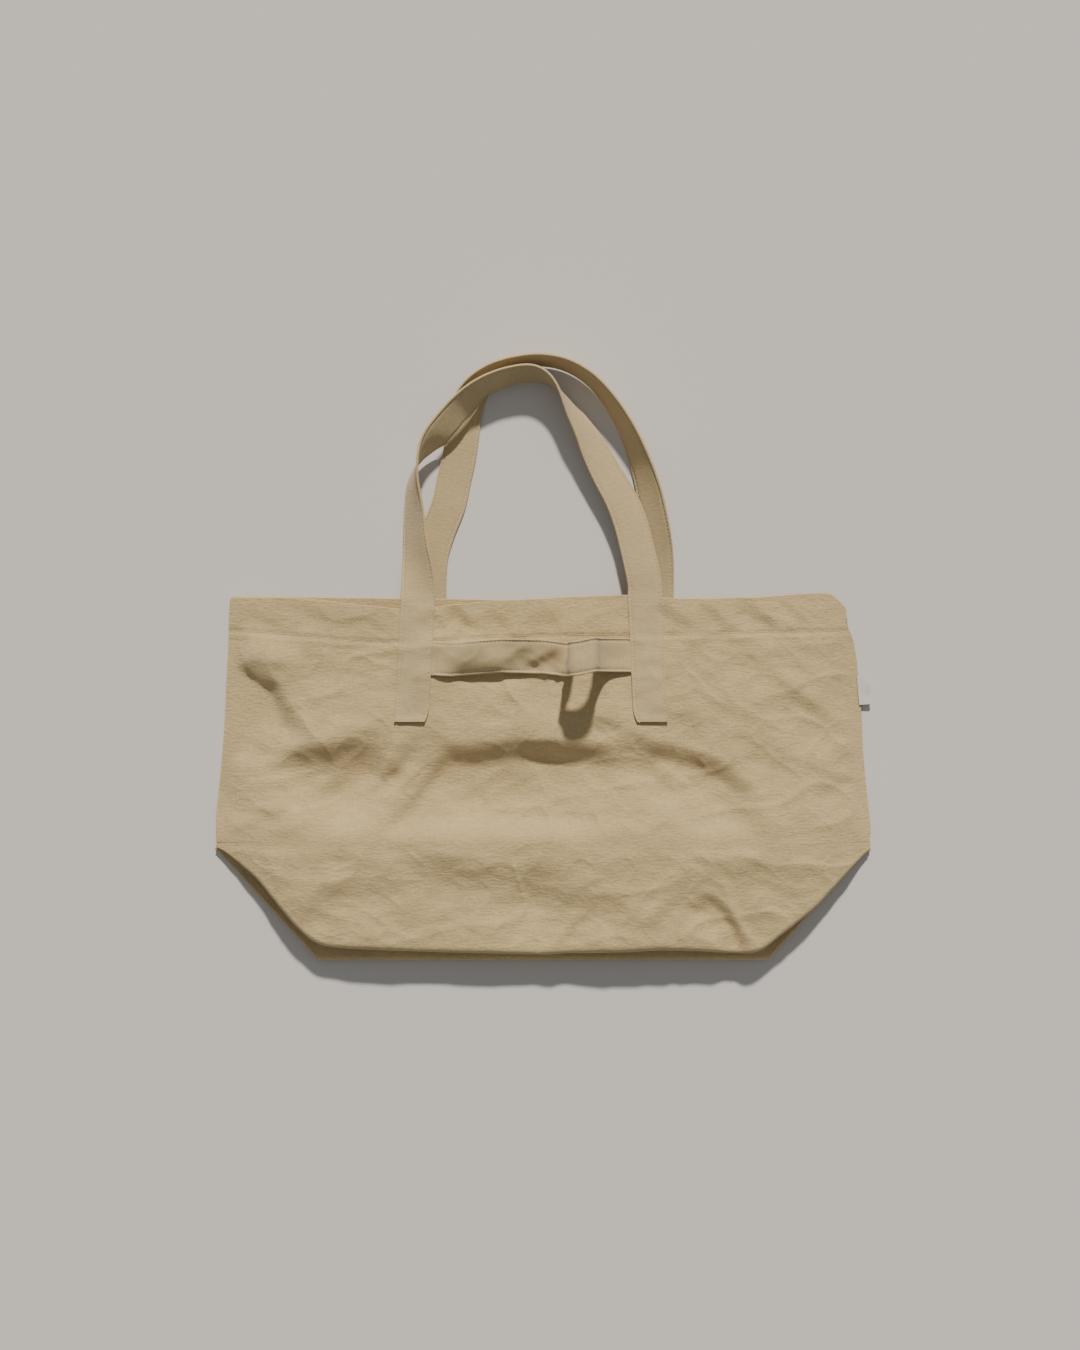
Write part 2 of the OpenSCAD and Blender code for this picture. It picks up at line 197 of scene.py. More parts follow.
# The front's left and right edges, from the base up: how far each lies inside the straight seam.
LEFT_EDGE_IN = [
    (-172, 3), (-165, 0), (-150, -2), (-116, -1), (-69, -0.6), (-21, -2), (16, -3), (45, -3.8), (57, -4)
]
RIGHT_EDGE_IN = [
    (-172, 1.5), (-163, -1.5), (-135, -1), (-90, -0.3), (-50, -1.6), (2, -1), (20, 1), (25, 4), (29, 8),
    (36, 6.5), (44, 5), (60, 6)
]
# The edge of the mouth, front and back, from left to right.
FRONT_MOUTH_EDGE = [
    (-295, 57), (-240, 56.5), (-215, 55), (-180, 50.5), (-150, 47.5), (-132, 46), (-115, 46.3), (-100, 48),
    (-80, 50), (-60, 52), (-40, 54), (0, 55.5), (20, 57), (50, 58), (77, 59), (100, 58), (124, 55.5),
    (160, 56), (205, 57), (240, 60), (262, 61), (276, 61), (281, 59), (286, 51), (290, 42)
]
BACK_MOUTH_EDGE = [
    (-295, 58), (-240, 57.5), (-190, 57), (-132, 56), (-60, 55.2), (0, 54), (100, 54), (200, 54), (240, 56),
    (262, 56), (272, 52), (282, 42), (290, 32)
]
HEM_LINE = [
    (-300, 28), (-250, 23.5), (-200, 19.5), (-170, 17), (-134, 15.5), (-100, 17), (-60, 20), (-20, 21),
    (20, 22), (90, 22), (150, 23.5), (220, 25), (300, 27)
]


def follow(values, at):
    """The height of a smooth line through a few points."""
    xs, ys = np.array(values, float).T
    spread = np.linspace(-1, 1, 9) * 0.4 * np.median(np.diff(xs))
    return np.mean([np.interp(at + s, xs, ys) for s in spread], axis=0)


def straight(values, at):
    """The height of a broken line through a few points."""
    return np.interp(at, *np.array(values, float).T)


def edge_pull(u, y):
    """How far the cloth's edges are pulled in or out, for shares u across the bag."""
    return np.where(u < 0, follow(LEFT_EDGE_IN, y), -follow(RIGHT_EDGE_IN, y)) * np.abs(u) ** 12


def half_width(y):
    """Half the bag's width, which grows from the mouth to the corners of the base."""
    share = np.clip((MOUTH_Y - y) / (MOUTH_Y - CORNER_Y), 0, 1)
    return HALF_MOUTH + (HALF_WIDEST - HALF_MOUTH) * share


def front_plane(y):
    """The front's face in the middle: it falls from the folded base to the mouth."""
    share = np.clip((MOUTH_Y - y) / (MOUTH_Y - BEND_Y), 0, 1.3)
    below = np.maximum(0, BEND_Y - y)
    return MOUTH_Z + (FOLD_Z - MOUTH_Z) * np.minimum(share, 1) - 2.0 * smooth(below / 100)


# Folds are listed by kind and path. A drop then has its run, fall, recovery and the share of its length
# in which each end fades, and a ridge its width, height and that share.
FRONT_FOLDS = [
    # The long valley under the strap, with its two ends.
    (drop, [(-118, -76), (-86, -90), (-50, -90), (-18, -87), (16, -87), (50, -89), (92, -98)],
     28, 19.5, 60, 0.27),
    (drop, [(58, -74), (96, -83), (124, -89), (152, -98), (180, -114), (214, -150)], 23, 12.5, 40, 0.34),
    (drop, [(40, -56), (56, -60), (74, -64)], 10, 2.6, 10),
    # The fan of folds under the left handle end.
    (drop, [(-274, -90), (-240, -96), (-206, -95), (-176, -86), (-138, -60)], 30, 14.0, 42, 0.36),
    (drop, [(-216, -146), (-194, -120), (-172, -100), (-150, -82)], 23, 11.0, 28, 0.4),
    (drop, [(-160, -126), (-140, -98), (-118, -68)], 16, 7.0, 18, 0.4),
    (drop, [(-158, -186), (-138, -144), (-112, -108), (-76, -78)], 24, 10.5, 34, 0.36),
    (ridge, [(-272, -70), (-238, -78), (-206, -79), (-170, -66)], 15, 3.6, 0.36),
    (ridge, [(-182, -128), (-160, -120), (-136, -98), (-118, -76)], 6, 2.2),
    (ridge, [(-138, -150), (-116, -122), (-98, -98), (-92, -76)], 6, 2.4),
    (ridge, [(-212, -72), (-176, -66), (-150, -54)], 10, 2.0),
    # The left side.
    (drop, [(-308, -6), (-286, -12), (-264, -20), (-234, -40)], 28, 12.0, 34, 0.4),
    (ridge, [(-308, 9), (-282, 5), (-252, -1), (-218, -16)], 19, 8.0, 0.4),
    (drop, [(-262, -16), (-246, -42), (-222, -82)], 21, 9.0, 26, 0.36),
    (drop, [(-298, -66), (-276, -74), (-252, -90)], 12, 2.4, 14),
    (ridge, [(-290, -40), (-262, -58), (-240, -84)], 12, 1.6),
    (drop, [(-307, -128), (-284, -140), (-256, -146), (-228, -142)], 9, 1.8, 12),
    (drop, [(-308, -152), (-288, -158), (-262, -160)], 6, 1.2, 8),
    (drop, [(-306, -82), (-292, -85), (-274, -82)], 5, 1.4, 8),
    (ridge, [(-254, -168), (-214, -150), (-172, -130)], 8, 2.0),
    (drop, [(-226, -172), (-196, -158), (-166, -152)], 12, 1.8, 16),
    # Slack above and below the valley.
    (ridge, [(-100, -62), (-60, -66), (0, -66), (60, -58)], 13, 2.6),
    (ridge, [(-98, -15), (-66, -18), (-34, -18), (-2, -16)], 9, -2.6),
    (drop, [(-92, -138), (-64, -122), (-40, -110), (-16, -102)], 13, 2.8, 15),
    (drop, [(-60, -140), (-34, -124), (-8, -112), (22, -100)], 12, 2.2, 13),
    (ridge, [(-66, -154), (-24, -128), (28, -102)], 6, 1.3),
    (drop, [(-40, -158), (0, -146), (50, -142)], 20, 1.6, 24),
    # The right side: long soft diagonals from the handle end and the mouth.
    (drop, [(84, -88), (112, -108), (144, -136), (178, -166)], 15, 3.0, 18),
    (ridge, [(92, -98), (128, -126), (168, -160), (198, -186)], 6, 1.2),
    (drop, [(130, -104), (170, -128), (206, -164), (232, -190)], 14, 1.8, 18),
    (ridge, [(118, -64), (170, -82), (226, -92), (262, -94)], 12, 1.6),
    (drop, [(112, -46), (150, -58), (206, -84), (262, -112)], 22, 2.6, 26),
    (drop, [(122, 8), (148, -12), (172, -38), (190, -64)], 16, 2.0, 18),
    (drop, [(184, 8), (214, -20), (252, -48), (290, -70)], 14, 2.2, 18),
    (drop, [(240, -96), (268, -110), (300, -118)], 12, 1.6, 16),
    (ridge, [(210, -2), (240, -30), (276, -50)], 8, 1.2),
    (drop, [(-236, 8), (-206, -6), (-170, -12), (-142, -6)], 16, 1.8, 20),
]


def front_folds(x, y):
    """The folds of the front, which hang from the handle ends and the slack over the base."""
    x, y = x + 2.2 * lumps(x, y, 52, 61), y + 2.0 * lumps(x, y, 48, 63)
    return folded(x, y, FRONT_FOLDS)


BASE_FOLDS = [
    (drop, [(-150, -186), (-107, -192), (-60, -200), (-14, -203), (40, -200)], 32, 7.0, 40, 0.3),
    (drop, [(-40, -214), (0, -222), (40, -226), (90, -222)], 24, 3.0, 26, 0.3),
    (drop, [(150, -214), (166, -230), (182, -252), (194, -282)], 13, 8.5, 16, 0.25),
    (ridge, [(148, -220), (163, -240), (178, -268)], 8, 2.4),
    (drop, [(196, -282), (206, -268), (222, -258), (246, -246)], 7, 2.6, 12),
    (ridge, [(-2, -280), (16, -256), (38, -232)], 4.5, 1.8),
    (drop, [(6, -280), (26, -256), (46, -232)], 7, 1.6, 9),
    (ridge, [(82, -260), (102, -238), (128, -210)], 6, 1.3),
    (drop, [(92, -262), (114, -238), (136, -214)], 8, 1.0, 10),
    (drop, [(-238, -240), (-206, -222), (-170, -212), (-120, -214)], 18, 2.4, 24),
    (ridge, [(-290, -182), (-262, -196), (-230, -200)], 12, 1.6),
    (drop, [(-160, -236), (-100, -240), (-40, -242)], 22, 1.6, 24),
    (drop, [(130, -186), (170, -196), (220, -200), (270, -198)], 20, 1.8, 24),
    (drop, [(184, -206), (214, -214), (248, -222)], 12, 1.4, 14),
]


def base_folds(x, y):
    """The folds below the bend, where the cloth turns under at the base."""
    x, y = x + 1.8 * lumps(x, y, 36, 65), y + 1.8 * lumps(x, y, 32, 66)
    h = folded(x, y, BASE_FOLDS)
    pucker = 0.9 * lumps(x, y * 0.3, 17, 67) + 0.5 * lumps(x, y * 0.3, 8, 68)
    return h + pucker * smooth((-y - 236) / 26)


def turned(x, y, angle):
    """The same places, seen from axes turned by an angle in degrees."""
    c, s = math.cos(math.radians(angle)), math.sin(math.radians(angle))
    return x * c + y * s, y * c - x * s


def creased(x, y):
    """The crumpling that all of the washed cloth has, from broad swells to fine wrinkles."""
    h = 1.5 * lumps(*turned(x, y, 24), 61, 3)
    u, v = turned(x, y, -33)
    h += 1.1 * lumps(u, v * 1.5, 34, 5)
    h += 1.2 * (1 - np.abs(lumps(*turned(x, y * 1.4, 14), 46, 13))) ** 4
    u, v = turned(x, y, 38)
    h += 0.6 * lumps(u * 0.8, v * 1.4, 19, 7)
    h += 0.55 * (1 - np.abs(lumps(*turned(x, y * 1.3, -41), 26, 17))) ** 5
    u, v = turned(x, y, -12)
    h += 0.34 * lumps(u * 0.7, v * 1.3, 11, 9)
    h += 0.19 * lumps(*turned(x * 0.6, y * 1.3, 7), 6.3, 8)
    return h


def edge_height(y):
    """The height of the front's edge over its seam, which grows towards the folded base."""
    return EDGE_Z + 4.6 * smooth((-122 - y) / 46)


def front_z(x, y):
    """The height of the front's outer face."""
    x, y = np.broadcast_arrays(np.asarray(x, float), np.asarray(y, float))
    width = half_width(y)
    from_seam = np.clip((width - np.abs(x)) / SIDE_BAND, 0, 1)
    pillow = np.sin(np.pi / 2 * from_seam) ** 0.9
    low = edge_height(y)
    full = low + (front_plane(y) - low) * pillow + 1.4 * smooth((y - 16) / 40) * smooth((-118 - x) / 60)
    slack = smooth(from_seam * 5)
    by_bend = smooth((y - BEND_Y) / 26)
    by_mouth = 0.45 + 0.55 * smooth((MOUTH_Y - y) / 60)
    under_fold = smooth((BEND_Y - y) / 14)
    h = (
        front_folds(x, y) * by_bend
        + base_folds(x, y) * under_fold
        + 1.3 * creased(x, y) * (0.25 + 0.75 * np.maximum(by_bend, under_fold)) * by_mouth
        + mouth_wrinkles(x, y)
    )
    room = np.maximum(0.4, 0.9 * (full - EDGE_Z))  # the front can't sink through the back
    h = np.where(h < 0, h / (1 + (h / room) ** 4) ** 0.25, h)
    return full + slack * h + hem_relief(x, y)


def hem_relief(x, y):
    """The folded hem stands a little proud, and puckers along its row of stitches."""
    from_row = y - follow(HEM_LINE, x)
    raised = 1.0 * smooth((from_row + 1.8) / 2.8)
    groove = -0.75 * np.exp(-((from_row / 1.5) ** 2))
    below = 0.7 * np.exp(-(((from_row + 5) / 2.6) ** 2))
    pucker = 0.5 * lumps(x, y * 0.2, 6, 11) * np.exp(-((from_row / 8) ** 2))
    rim = 0.35 * lumps(x, y * 0.2, 9, 12) * smooth((from_row - 20) / 10)
    return raised + groove + below + pucker + rim


MOUTH_FOLDS = [
    (drop, [(-88, 54), (-72, 38), (-56, 24)], 13, 4.6, 16, 0.36),
    (drop, [(-110, 48), (-98, 34), (-88, 22)], 10, 2.2, 12, 0.4),
    (drop, [(-52, 50), (-38, 36), (-24, 24)], 15, 3.0, 16, 0.4),
    (drop, [(-10, 50), (6, 38), (24, 26)], 18, 2.6, 18, 0.4),
    (drop, [(106, 58), (124, 40), (148, 22)], 14, 3.8, 17, 0.36),
    (drop, [(146, 54), (164, 38), (182, 22)], 14, 2.4, 16, 0.4),
    (drop, [(184, 56), (202, 40), (224, 22)], 13, 4.0, 15, 0.36),
    (drop, [(224, 56), (240, 40), (256, 28)], 9, 1.2, 10),
    (drop, [(-284, 46), (-264, 36), (-240, 31)], 12, 1.8, 13),
    (drop, [(-236, 50), (-200, 40), (-166, 30)], 14, 1.4, 15),
    (drop, [(-180, 42), (-160, 33), (-142, 22)], 10, 1.2, 11),
]


def mouth_wrinkles(x, y):
    """Creases in the hem, which slant down to the right between the handle ends and beside them."""
    x, y = x + 2 * lumps(x, y, 20, 71), y + 2 * lumps(x, y, 18, 72)
    return folded(x, y, MOUTH_FOLDS)


# ---------------------------------------------------------------- cloth as closed shells

def make_piece(name, points, faces, places=None):
    """A smooth mesh object from points in millimetres, with each point's place on the flat cloth."""
    mesh = bpy.data.meshes.new(name)
    mesh.from_pydata((points.reshape(-1, 3) * MM).tolist(), [], faces)
    mesh.polygons.foreach_set("use_smooth", [True] * len(mesh.polygons))
    if places is not None:
        layer = mesh.uv_layers.new(name="cloth")
        at = np.zeros(len(mesh.loops), int)
        mesh.loops.foreach_get("vertex_index", at)
        layer.data.foreach_set("uv", (places.reshape(-1, 2)[at] * MM).astype(np.float32).ravel())
    mesh.update()
    made = bpy.data.objects.new(name, mesh)
    bpy.context.scene.collection.objects.link(made)
    return made


def ring_places(around, along):
    """Places on the flat cloth for rings of points: round the ring, and along the run of rings."""
    return np.stack(np.broadcast_arrays(around[None, :], along[:, None]), -1)


def sheet_mesh(name, outer, thick, flat, round_rims=(True, True, True, True), columns=None):
    """A closed shell of cloth from the grid of its outer face, rows by columns.

    thick is its thickness at each point, and flat holds each point's place on the flat cloth. The
    rims are the first row, the last row, the first column and the last column. columns picks a
    part of the grid, so that neighbours cut from one grid meet without a crease."""
    across = np.gradient(outer, axis=1)
    down = np.gradient(outer, axis=0)
    normal = unit(np.cross(down, across))
    thick = np.broadcast_to(thick, outer.shape[:2])
    if columns:
        part = slice(columns[0], columns[1] + 1)
        outer, normal, thick, flat = outer[:, part], normal[:, part], thick[:, part], flat[:, part]
        across, down = across[:, part], down[:, part]
    rows, cols = outer.shape[:2]
    inner = outer - normal * thick[..., None]
    index = np.arange(rows * cols).reshape(rows, cols)
    under = index + rows * cols
    points = [outer.reshape(-1, 3), inner.reshape(-1, 3)]
    normals = [normal.reshape(-1, 3), -normal.reshape(-1, 3)]
    uvs = [flat.reshape(-1, 2), flat.reshape(-1, 2)]
    a, b, c, d = index[:-1, :-1], index[:-1, 1:], index[1:, 1:], index[1:, :-1]
    faces = [np.stack([a, d, c, b], -1).reshape(-1, 4)]
    a, b, c, d = under[:-1, :-1], under[:-1, 1:], under[1:, 1:], under[1:, :-1]
    faces.append(np.stack([a, b, c, d], -1).reshape(-1, 4))
    # The rim runs round the sheet once, with a middle line that swells outwards.
    loop = np.concatenate([index[0, :], index[1:, -1], index[-1, -2::-1], index[-2:0:-1, 0]])
    side = np.concatenate([
        np.full(cols, 0), np.full(rows - 1, 3), np.full(cols - 1, 1), np.full(rows - 2, 2)
    ])
    outward = np.stack([-unit(down), unit(down), -unit(across), unit(across)])
    r, k = np.divmod(loop, cols)
    swell = np.array([0.35 if flag else 0.0 for flag in round_rims])[side]
    push = outward[side, r, k]
    middle = (outer[r, k] + inner[r, k]) / 2 + push * (swell * thick[r, k])[:, None]
    first = 2 * rows * cols
    points.append(middle)
    normals.append(push)
    uvs.append(flat[r, k])
    ring = first + np.arange(len(loop))
    after = np.roll(np.arange(len(loop)), -1)
    faces.append(np.stack([loop, loop[after], ring[after], ring], -1))
    faces.append(np.stack([ring, ring[after], loop[after] + rows * cols, loop + rows * cols], -1))
    made = make_piece(name, np.concatenate(points), np.concatenate(faces).tolist(), np.concatenate(uvs))
    made.data.normals_split_custom_set_from_vertices(np.concatenate(normals).tolist())
    return made


# ---------------------------------------------------------------- front panel, above the bend

GRID_STEP = 1.8
BASE_STEP = 2.1
BACK_STEP = 3.2


def front_grid(step):
    """The outer face of the front, from the mouth down to the bend, and its places laid flat."""
    rows = int(round((MOUTH_Y - BEND_Y) / step)) + 1
    cols = int(round(2 * HALF_WIDEST / step)) + 1
    share = np.linspace(0, 1, rows)[:, None]
    u = np.linspace(-1, 1, cols)[None, :]
    top_y = follow(FRONT_MOUTH_EDGE, u * HALF_MOUTH)
    y = top_y + (BEND_Y - top_y) * share
    width = half_width(y)
    x = u * width + edge_pull(u, y)
    z = front_z(x, y)
    flat = np.stack([u * width, y + 0 * u], -1)
    return np.stack([x, y, z], -1), flat


front_points, front_flat = front_grid(GRID_STEP)
hem_depth_here = front_points[..., 1] - follow(HEM_LINE, front_points[..., 0])
front_thick = CLOTH + 1.1 * smooth((hem_depth_here + 3) / 3)
front_thick = front_thick * (0.6 + 0.4 * smooth((HALF_WIDEST - np.abs(front_points[..., 0])) / 14))
cols = front_points.shape[1]


def column_at(x):
    """The column of the front's grid that lies at x at the mouth."""
    return int(round((x / HALF_MOUTH + 1) / 2 * (cols - 1)))


left_cut, right_cut = column_at(FRONT_LEFT_X), column_at(FRONT_RIGHT_X)
front_left = sheet_mesh(
    "front_panel_left", front_points, front_thick, front_flat, (True, False, True, False), (0, left_cut)
)
front_middle = sheet_mesh(
    "front_panel_middle", front_points, front_thick, front_flat, (True, False, False, False),
    (left_cut, right_cut),
)
front_right = sheet_mesh(
    "front_panel_right", front_points, front_thick, front_flat, (True, False, False, True),
    (right_cut, cols - 1),
)

# ---------------------------------------------------------------- front below the bend

FOLD_LOW_Z = 17.0


def fold_column(u):
    """Edge, lower face and fold radius of the front's fold, for shares u across the bag."""
    x = u * HALF_WIDEST
    edge_y = follow(FRONT_FOLD_EDGE, x)
    edge_y = np.minimum(edge_y, BEND_Y - 3)
    from_tip = np.clip((HALF_WIDEST - np.abs(x)) / (HALF_WIDEST - HALF_BASE), 0, 1)
    low_z = 5.5 + (FOLD_LOW_Z - 5.5) * from_tip
    return x, edge_y, low_z


def front_base_grid(step):
    """The front's outer face from the bend, round its lower fold and back up between the layers."""
    cols = int(round(2 * HALF_WIDEST / step)) + 1
    u = np.linspace(-1, 1, cols)
    x, edge_y, low_z = fold_column(u)
    top_rows, arc_rows, low_rows = 54, 14, 34
    top_z = front_z(x, edge_y + 8)
    low_z = np.minimum(low_z, top_z - 2.2)
    radius = np.maximum(1.2, (top_z - low_z) / 2)
    reach = np.minimum(radius, (BEND_Y - edge_y) * 0.7)
    lines = []
    for share in np.linspace(0, 1, top_rows):
        y = BEND_Y + (edge_y + reach - BEND_Y) * share
        lines.append((y, front_z(x, y)))
    start_z = lines[-1][1]
    centre_z = (start_z + low_z) / 2
    half = (start_z - low_z) / 2
    for angle in np.linspace(0, np.pi, arc_rows + 2)[1:-1]:
        y = edge_y + reach - reach * np.sin(angle) ** 0.85
        lines.append((y, centre_z + half * np.cos(angle)))
    for share in np.linspace(0, 1, low_rows):
        y = edge_y + reach + np.maximum(CORNER_Y - edge_y - reach, 4) * share
        lines.append((y, low_z + 0.5 * lumps(x, y, 30, 21) * np.sin(np.pi * share)))
    y = np.array([line[0] for line in lines])
    z = np.array([line[1] for line in lines])
    xs = np.broadcast_to(x + edge_pull(u, BEND_Y), y.shape)
    steps = np.hypot(np.diff(y, axis=0), np.diff(z, axis=0))
    run = np.concatenate([np.zeros((1, cols)), np.cumsum(steps, axis=0)])
    flat = np.stack([xs, BEND_Y - run], -1)
    return np.stack([xs, y, z], -1), flat


base_points, base_flat = front_base_grid(BASE_STEP)
front_base = sheet_mesh("front_base", base_points, CLOTH, base_flat, (False, True, True, True))

# ---------------------------------------------------------------- back

BACK_FOLD_TOP = 11.0


def near_end(x, y):
    """1 over the back handle's sewn ends, which lie under the back, and 0 away from them."""
    aside = np.minimum(np.abs(x - BACK_END_X), np.abs(x + BACK_END_X)) - STRAP_WIDTH / 2
    below = MOUTH_Y - SEWN_LENGTH - y
    return smooth(1 - np.maximum(aside, 0) / 26) * smooth(1 - np.maximum(below, 0) / 26)


def back_lift(x, y):
    """How far the back's broad swells lift it from the ground."""
    return 0.5 * (1 + lumps(x, y, 48, 33))


def back_grid(step):
    """The back's outer face: the folded half of the base, the fold, and the panel up to the mouth."""
    cols = int(round(2 * HALF_WIDEST / step)) + 1
    u = np.linspace(-1, 1, cols)
    x = u * HALF_WIDEST
    beyond = np.maximum(0, np.abs(x) - HALF_BASE)
    edge_y = BACK_FOLD_Y + beyond * (CORNER_Y - BACK_FOLD_Y) / (HALF_WIDEST - HALF_BASE)
    edge_y = np.minimum(edge_y, CORNER_Y - 2)
    from_tip = np.clip((HALF_WIDEST - np.abs(x)) / (HALF_WIDEST - HALF_BASE), 0, 1)
    top_z = 4.5 + (BACK_FOLD_TOP - 4.5) * from_tip
    floor_z = 0.15
    half = (top_z - floor_z) / 2
    reach = np.minimum(half, (CORNER_Y - edge_y) * 0.7)
    inner_rows, arc_rows, floor_rows = 34, 12, 90
    lines = []
    for share in np.linspace(0, 1, inner_rows):
        y = CORNER_Y + (edge_y + reach - CORNER_Y) * share
        lines.append((x, y, top_z + 0.6 * lumps(x, y, 34, 31) * np.sin(np.pi * share)))
    for angle in np.linspace(0, np.pi, arc_rows + 2)[1:-1]:
        y = edge_y + reach - reach * np.sin(angle)
        lines.append((x, y, floor_z + half + half * np.cos(angle)))
    last_y = follow(BACK_MOUTH_EDGE, u * HALF_MOUTH)
    for share in np.linspace(0, 1, floor_rows):
        y = edge_y + reach + (last_y - edge_y - reach) * share
        at_x = u * half_width(np.maximum(y, CORNER_Y))
        at_x = at_x + 0.8 * edge_pull(u, y) * smooth((y - BEND_Y) / 20)
        z = floor_z + (STRAP_THICK + 0.1) * near_end(at_x, y)
        z = z + back_lift(at_x, y) * smooth(share * 3)
        lines.append((at_x, y, z))
    points = np.stack([np.stack([np.broadcast_to(v, x.shape) for v in line], -1) for line in lines])
    steps = np.linalg.norm(np.diff(points, axis=0), axis=-1)
    from_mouth = np.concatenate([np.cumsum(steps[::-1], axis=0)[::-1], np.zeros((1, cols))])
    flat = np.stack([points[..., 0], last_y - from_mouth], -1)
    return points, flat


back_points, back_flat = back_grid(BACK_STEP)
back_hem = smooth((back_points[..., 1] - (MOUTH_Y - HEM_DEPTH)) / 3)
back_thick = CLOTH + 1.1 * back_hem
back = sheet_mesh("back_panel_and_base", back_points, back_thick, back_flat)

# ---------------------------------------------------------------- handles and front strap

# The same stations as the solids: x, y, z and tilt, where 0 is flat and 90 or -90 on edge.
FRONT_ROUTE = [
    (-117, 56.5, 17.3, 0), (-117, 68, 17, -8), (-118, 84, 16.2, -24), (-119, 106, 16, -42),
    (-121, 139, 17.5, -54), (-121, 163, 19.5, -68), (-116, 184, 22, -90), (-107, 200, 22, -116),
    (-95, 213, 22.5, -136), (-77, 234, 22.5, -134), (-59, 252, 21.5, -118), (-38, 262, 20, -116),
    (-17, 266.5, 19.5, -113), (-2, 264.5, 19.5, -106), (12, 254.5, 19, -90), (29, 230, 17, -63),
    (39, 213.5, 15.5, -50), (48.5, 195, 14, -34), (61, 171.5, 13.5, -24), (74, 148, 14, -18),
    (84, 125, 15, -11), (91, 101.5, 16, -8), (96, 80, 16.8, -4), (98, 68, 17.2, -1),
    (98, 56.5, 17.3, 0)
]
BACK_ROUTE = [
    (-107, 56.5, 1.25, 0), (-107, 70, 1.3, 0), (-105, 98, 1.5, 0), (-98, 122, 1.6, 0),
    (-89, 145, 1.6, 0), (-84, 168, 1.6, 0), (-79, 191, 1.8, 1), (-76, 212, 2.5, 3),
    (-74, 228, 4.4, 10), (-69, 243, 9, 28), (-60, 257, 13.4, 48), (-46, 269, 16.5, 66),
    (-25, 277, 17.2, 75), (-2, 279.7, 17.4, 78), (22, 275, 17.3, 77), (44, 262, 17.1, 75),
    (62, 242, 16.8, 71), (78, 216, 16.2, 65), (90, 188, 15.2, 57), (99, 159, 13.4, 47),
    (104, 128, 10, 31), (107, 98, 5.2, 12), (107.5, 72, 2.1, 0), (107.5, 56.5, 1.25, 0)
]
# The front strap's free span: distance along X, and height above the panel.
STRAP_ROUTE = [
    (-100.5, 2.2), (-86, 2.8), (-66, 4.4), (-44, 4.8), (-20, 3.4), (0, 2.4), (14, 2.4), (21, 3.8),
    (25, 11), (25, 23), (24, 38), (23.5, 49), (27, 54.5), (33, 55.5), (40, 54), (46, 49.5), (49.5, 39),
    (51, 26), (54, 17), (60, 9.5), (68, 5.6), (76, 3.4), (81.5, 2.4)
]
# One face of the strap: distance from its middle, and height over its middle layer.
STRAP_FACE = [
    (-16, 0.0), (-15.9, 0.6), (-15.5, 1.1), (-14.8, 1.28), (-14.1, 0.9), (-13.5, 0.15), (-12.9, 0.75),
    (-12, 1.12), (-10, 1.2), (-8, 1.21), (-6, 1.22), (-4, 1.24), (-2, 1.26), (0, 1.27), (2, 1.26), (4, 1.24),
    (6, 1.22), (8, 1.21), (10, 1.2), (12, 1.12), (12.9, 0.75), (13.5, 0.15), (14.1, 0.9), (14.8, 1.28),
    (15.5, 1.1), (15.9, 0.6), (16, 0.0)
]
STITCH_LINE = 13.5
RING_STEP = 2.5


def smooth_route(route, step):
    """Evenly spaced points on one smooth curve through the stations."""
    stations = np.array(route, float)
    count = len(stations)
    s = np.linspace(0, count - 1, 24 * (count - 1) + 1)
    i = np.minimum(s.astype(int), count - 2)
    t = (s - i)[:, None]
    a, b, c, d = (stations[np.clip(i + k, 0, count - 1)] for k in (-1, 0, 1, 2))
    fine = 0.5 * (
        2 * b + (c - a) * t + (2 * a - 5 * b + 4 * c - d) * t**2 + (3 * b - a - 3 * c + d) * t**3
    )
    spatial = fine[:, :3] if fine.shape[1] > 2 else fine
    run = np.concatenate([[0], np.cumsum(np.linalg.norm(np.diff(spatial, axis=0), axis=1))])
    even = np.linspace(0, run[-1], int(run[-1] / step) + 1)
    return np.stack([np.interp(even, run, fine[:, k]) for k in range(fine.shape[1])], -1)


def loop_frames(route):
    """Middle, direction across and direction out of the face, along a handle's loop."""
    line = smooth_route(route, RING_STEP)
    middle, tilt = line[:, :3], np.radians(line[:, 3])
    forward = unit(np.gradient(middle, axis=0))
    outward = unit(np.stack([-forward[:, 1], forward[:, 0], 0 * tilt], -1))
    across = np.cos(tilt)[:, None] * outward + np.sin(tilt)[:, None] * np.array([0, 0, 1.0])
    across = unit(across - (across * forward).sum(-1, keepdims=True) * forward)
    return middle, across, np.cross(forward, across)


def handle_frames(route, end_y, end_z):
    """A whole handle: its loop, with a sewn end before it and another after it."""
    middle, across, face = loop_frames(route)
    length = route[0][1] - end_y
    count = int(length / RING_STEP)
    ys = np.linspace(end_y, route[0][1] - RING_STEP, count)
    parts = []
    for station, sign, order in ((route[0], -1, 1), (route[-1], 1, -1)):
        ends = np.stack([np.full(count, station[0]), ys, np.full(count, end_z)], -1)[::order]
        parts.append((ends, np.tile([float(sign), 0, 0], (count, 1)), np.tile([0, 0, 1.0], (count, 1))))
    before, after = parts
    return tuple(np.concatenate([b, m, a]) for b, m, a in zip(before, (middle, across, face), after))


def strap_points(frames, shape, thick=1.0):
    """Places on the strap's surface for each ring of a run of frames and each (aside, above)."""
    middle, across, face = frames
    aside, above = np.array(shape, float).T
    thick = np.broadcast_to(thick, len(middle))[:, None, None]
    return middle[:, None] + aside[:, None] * across[:, None] + thick * above[:, None] * face[:, None]


def ring_outline():
    """The strap's whole outline: its upper face, and back along its lower face."""
    lower = [(a, -h) for a, h in STRAP_FACE[::-1][1:-1]]
    return STRAP_FACE + lower


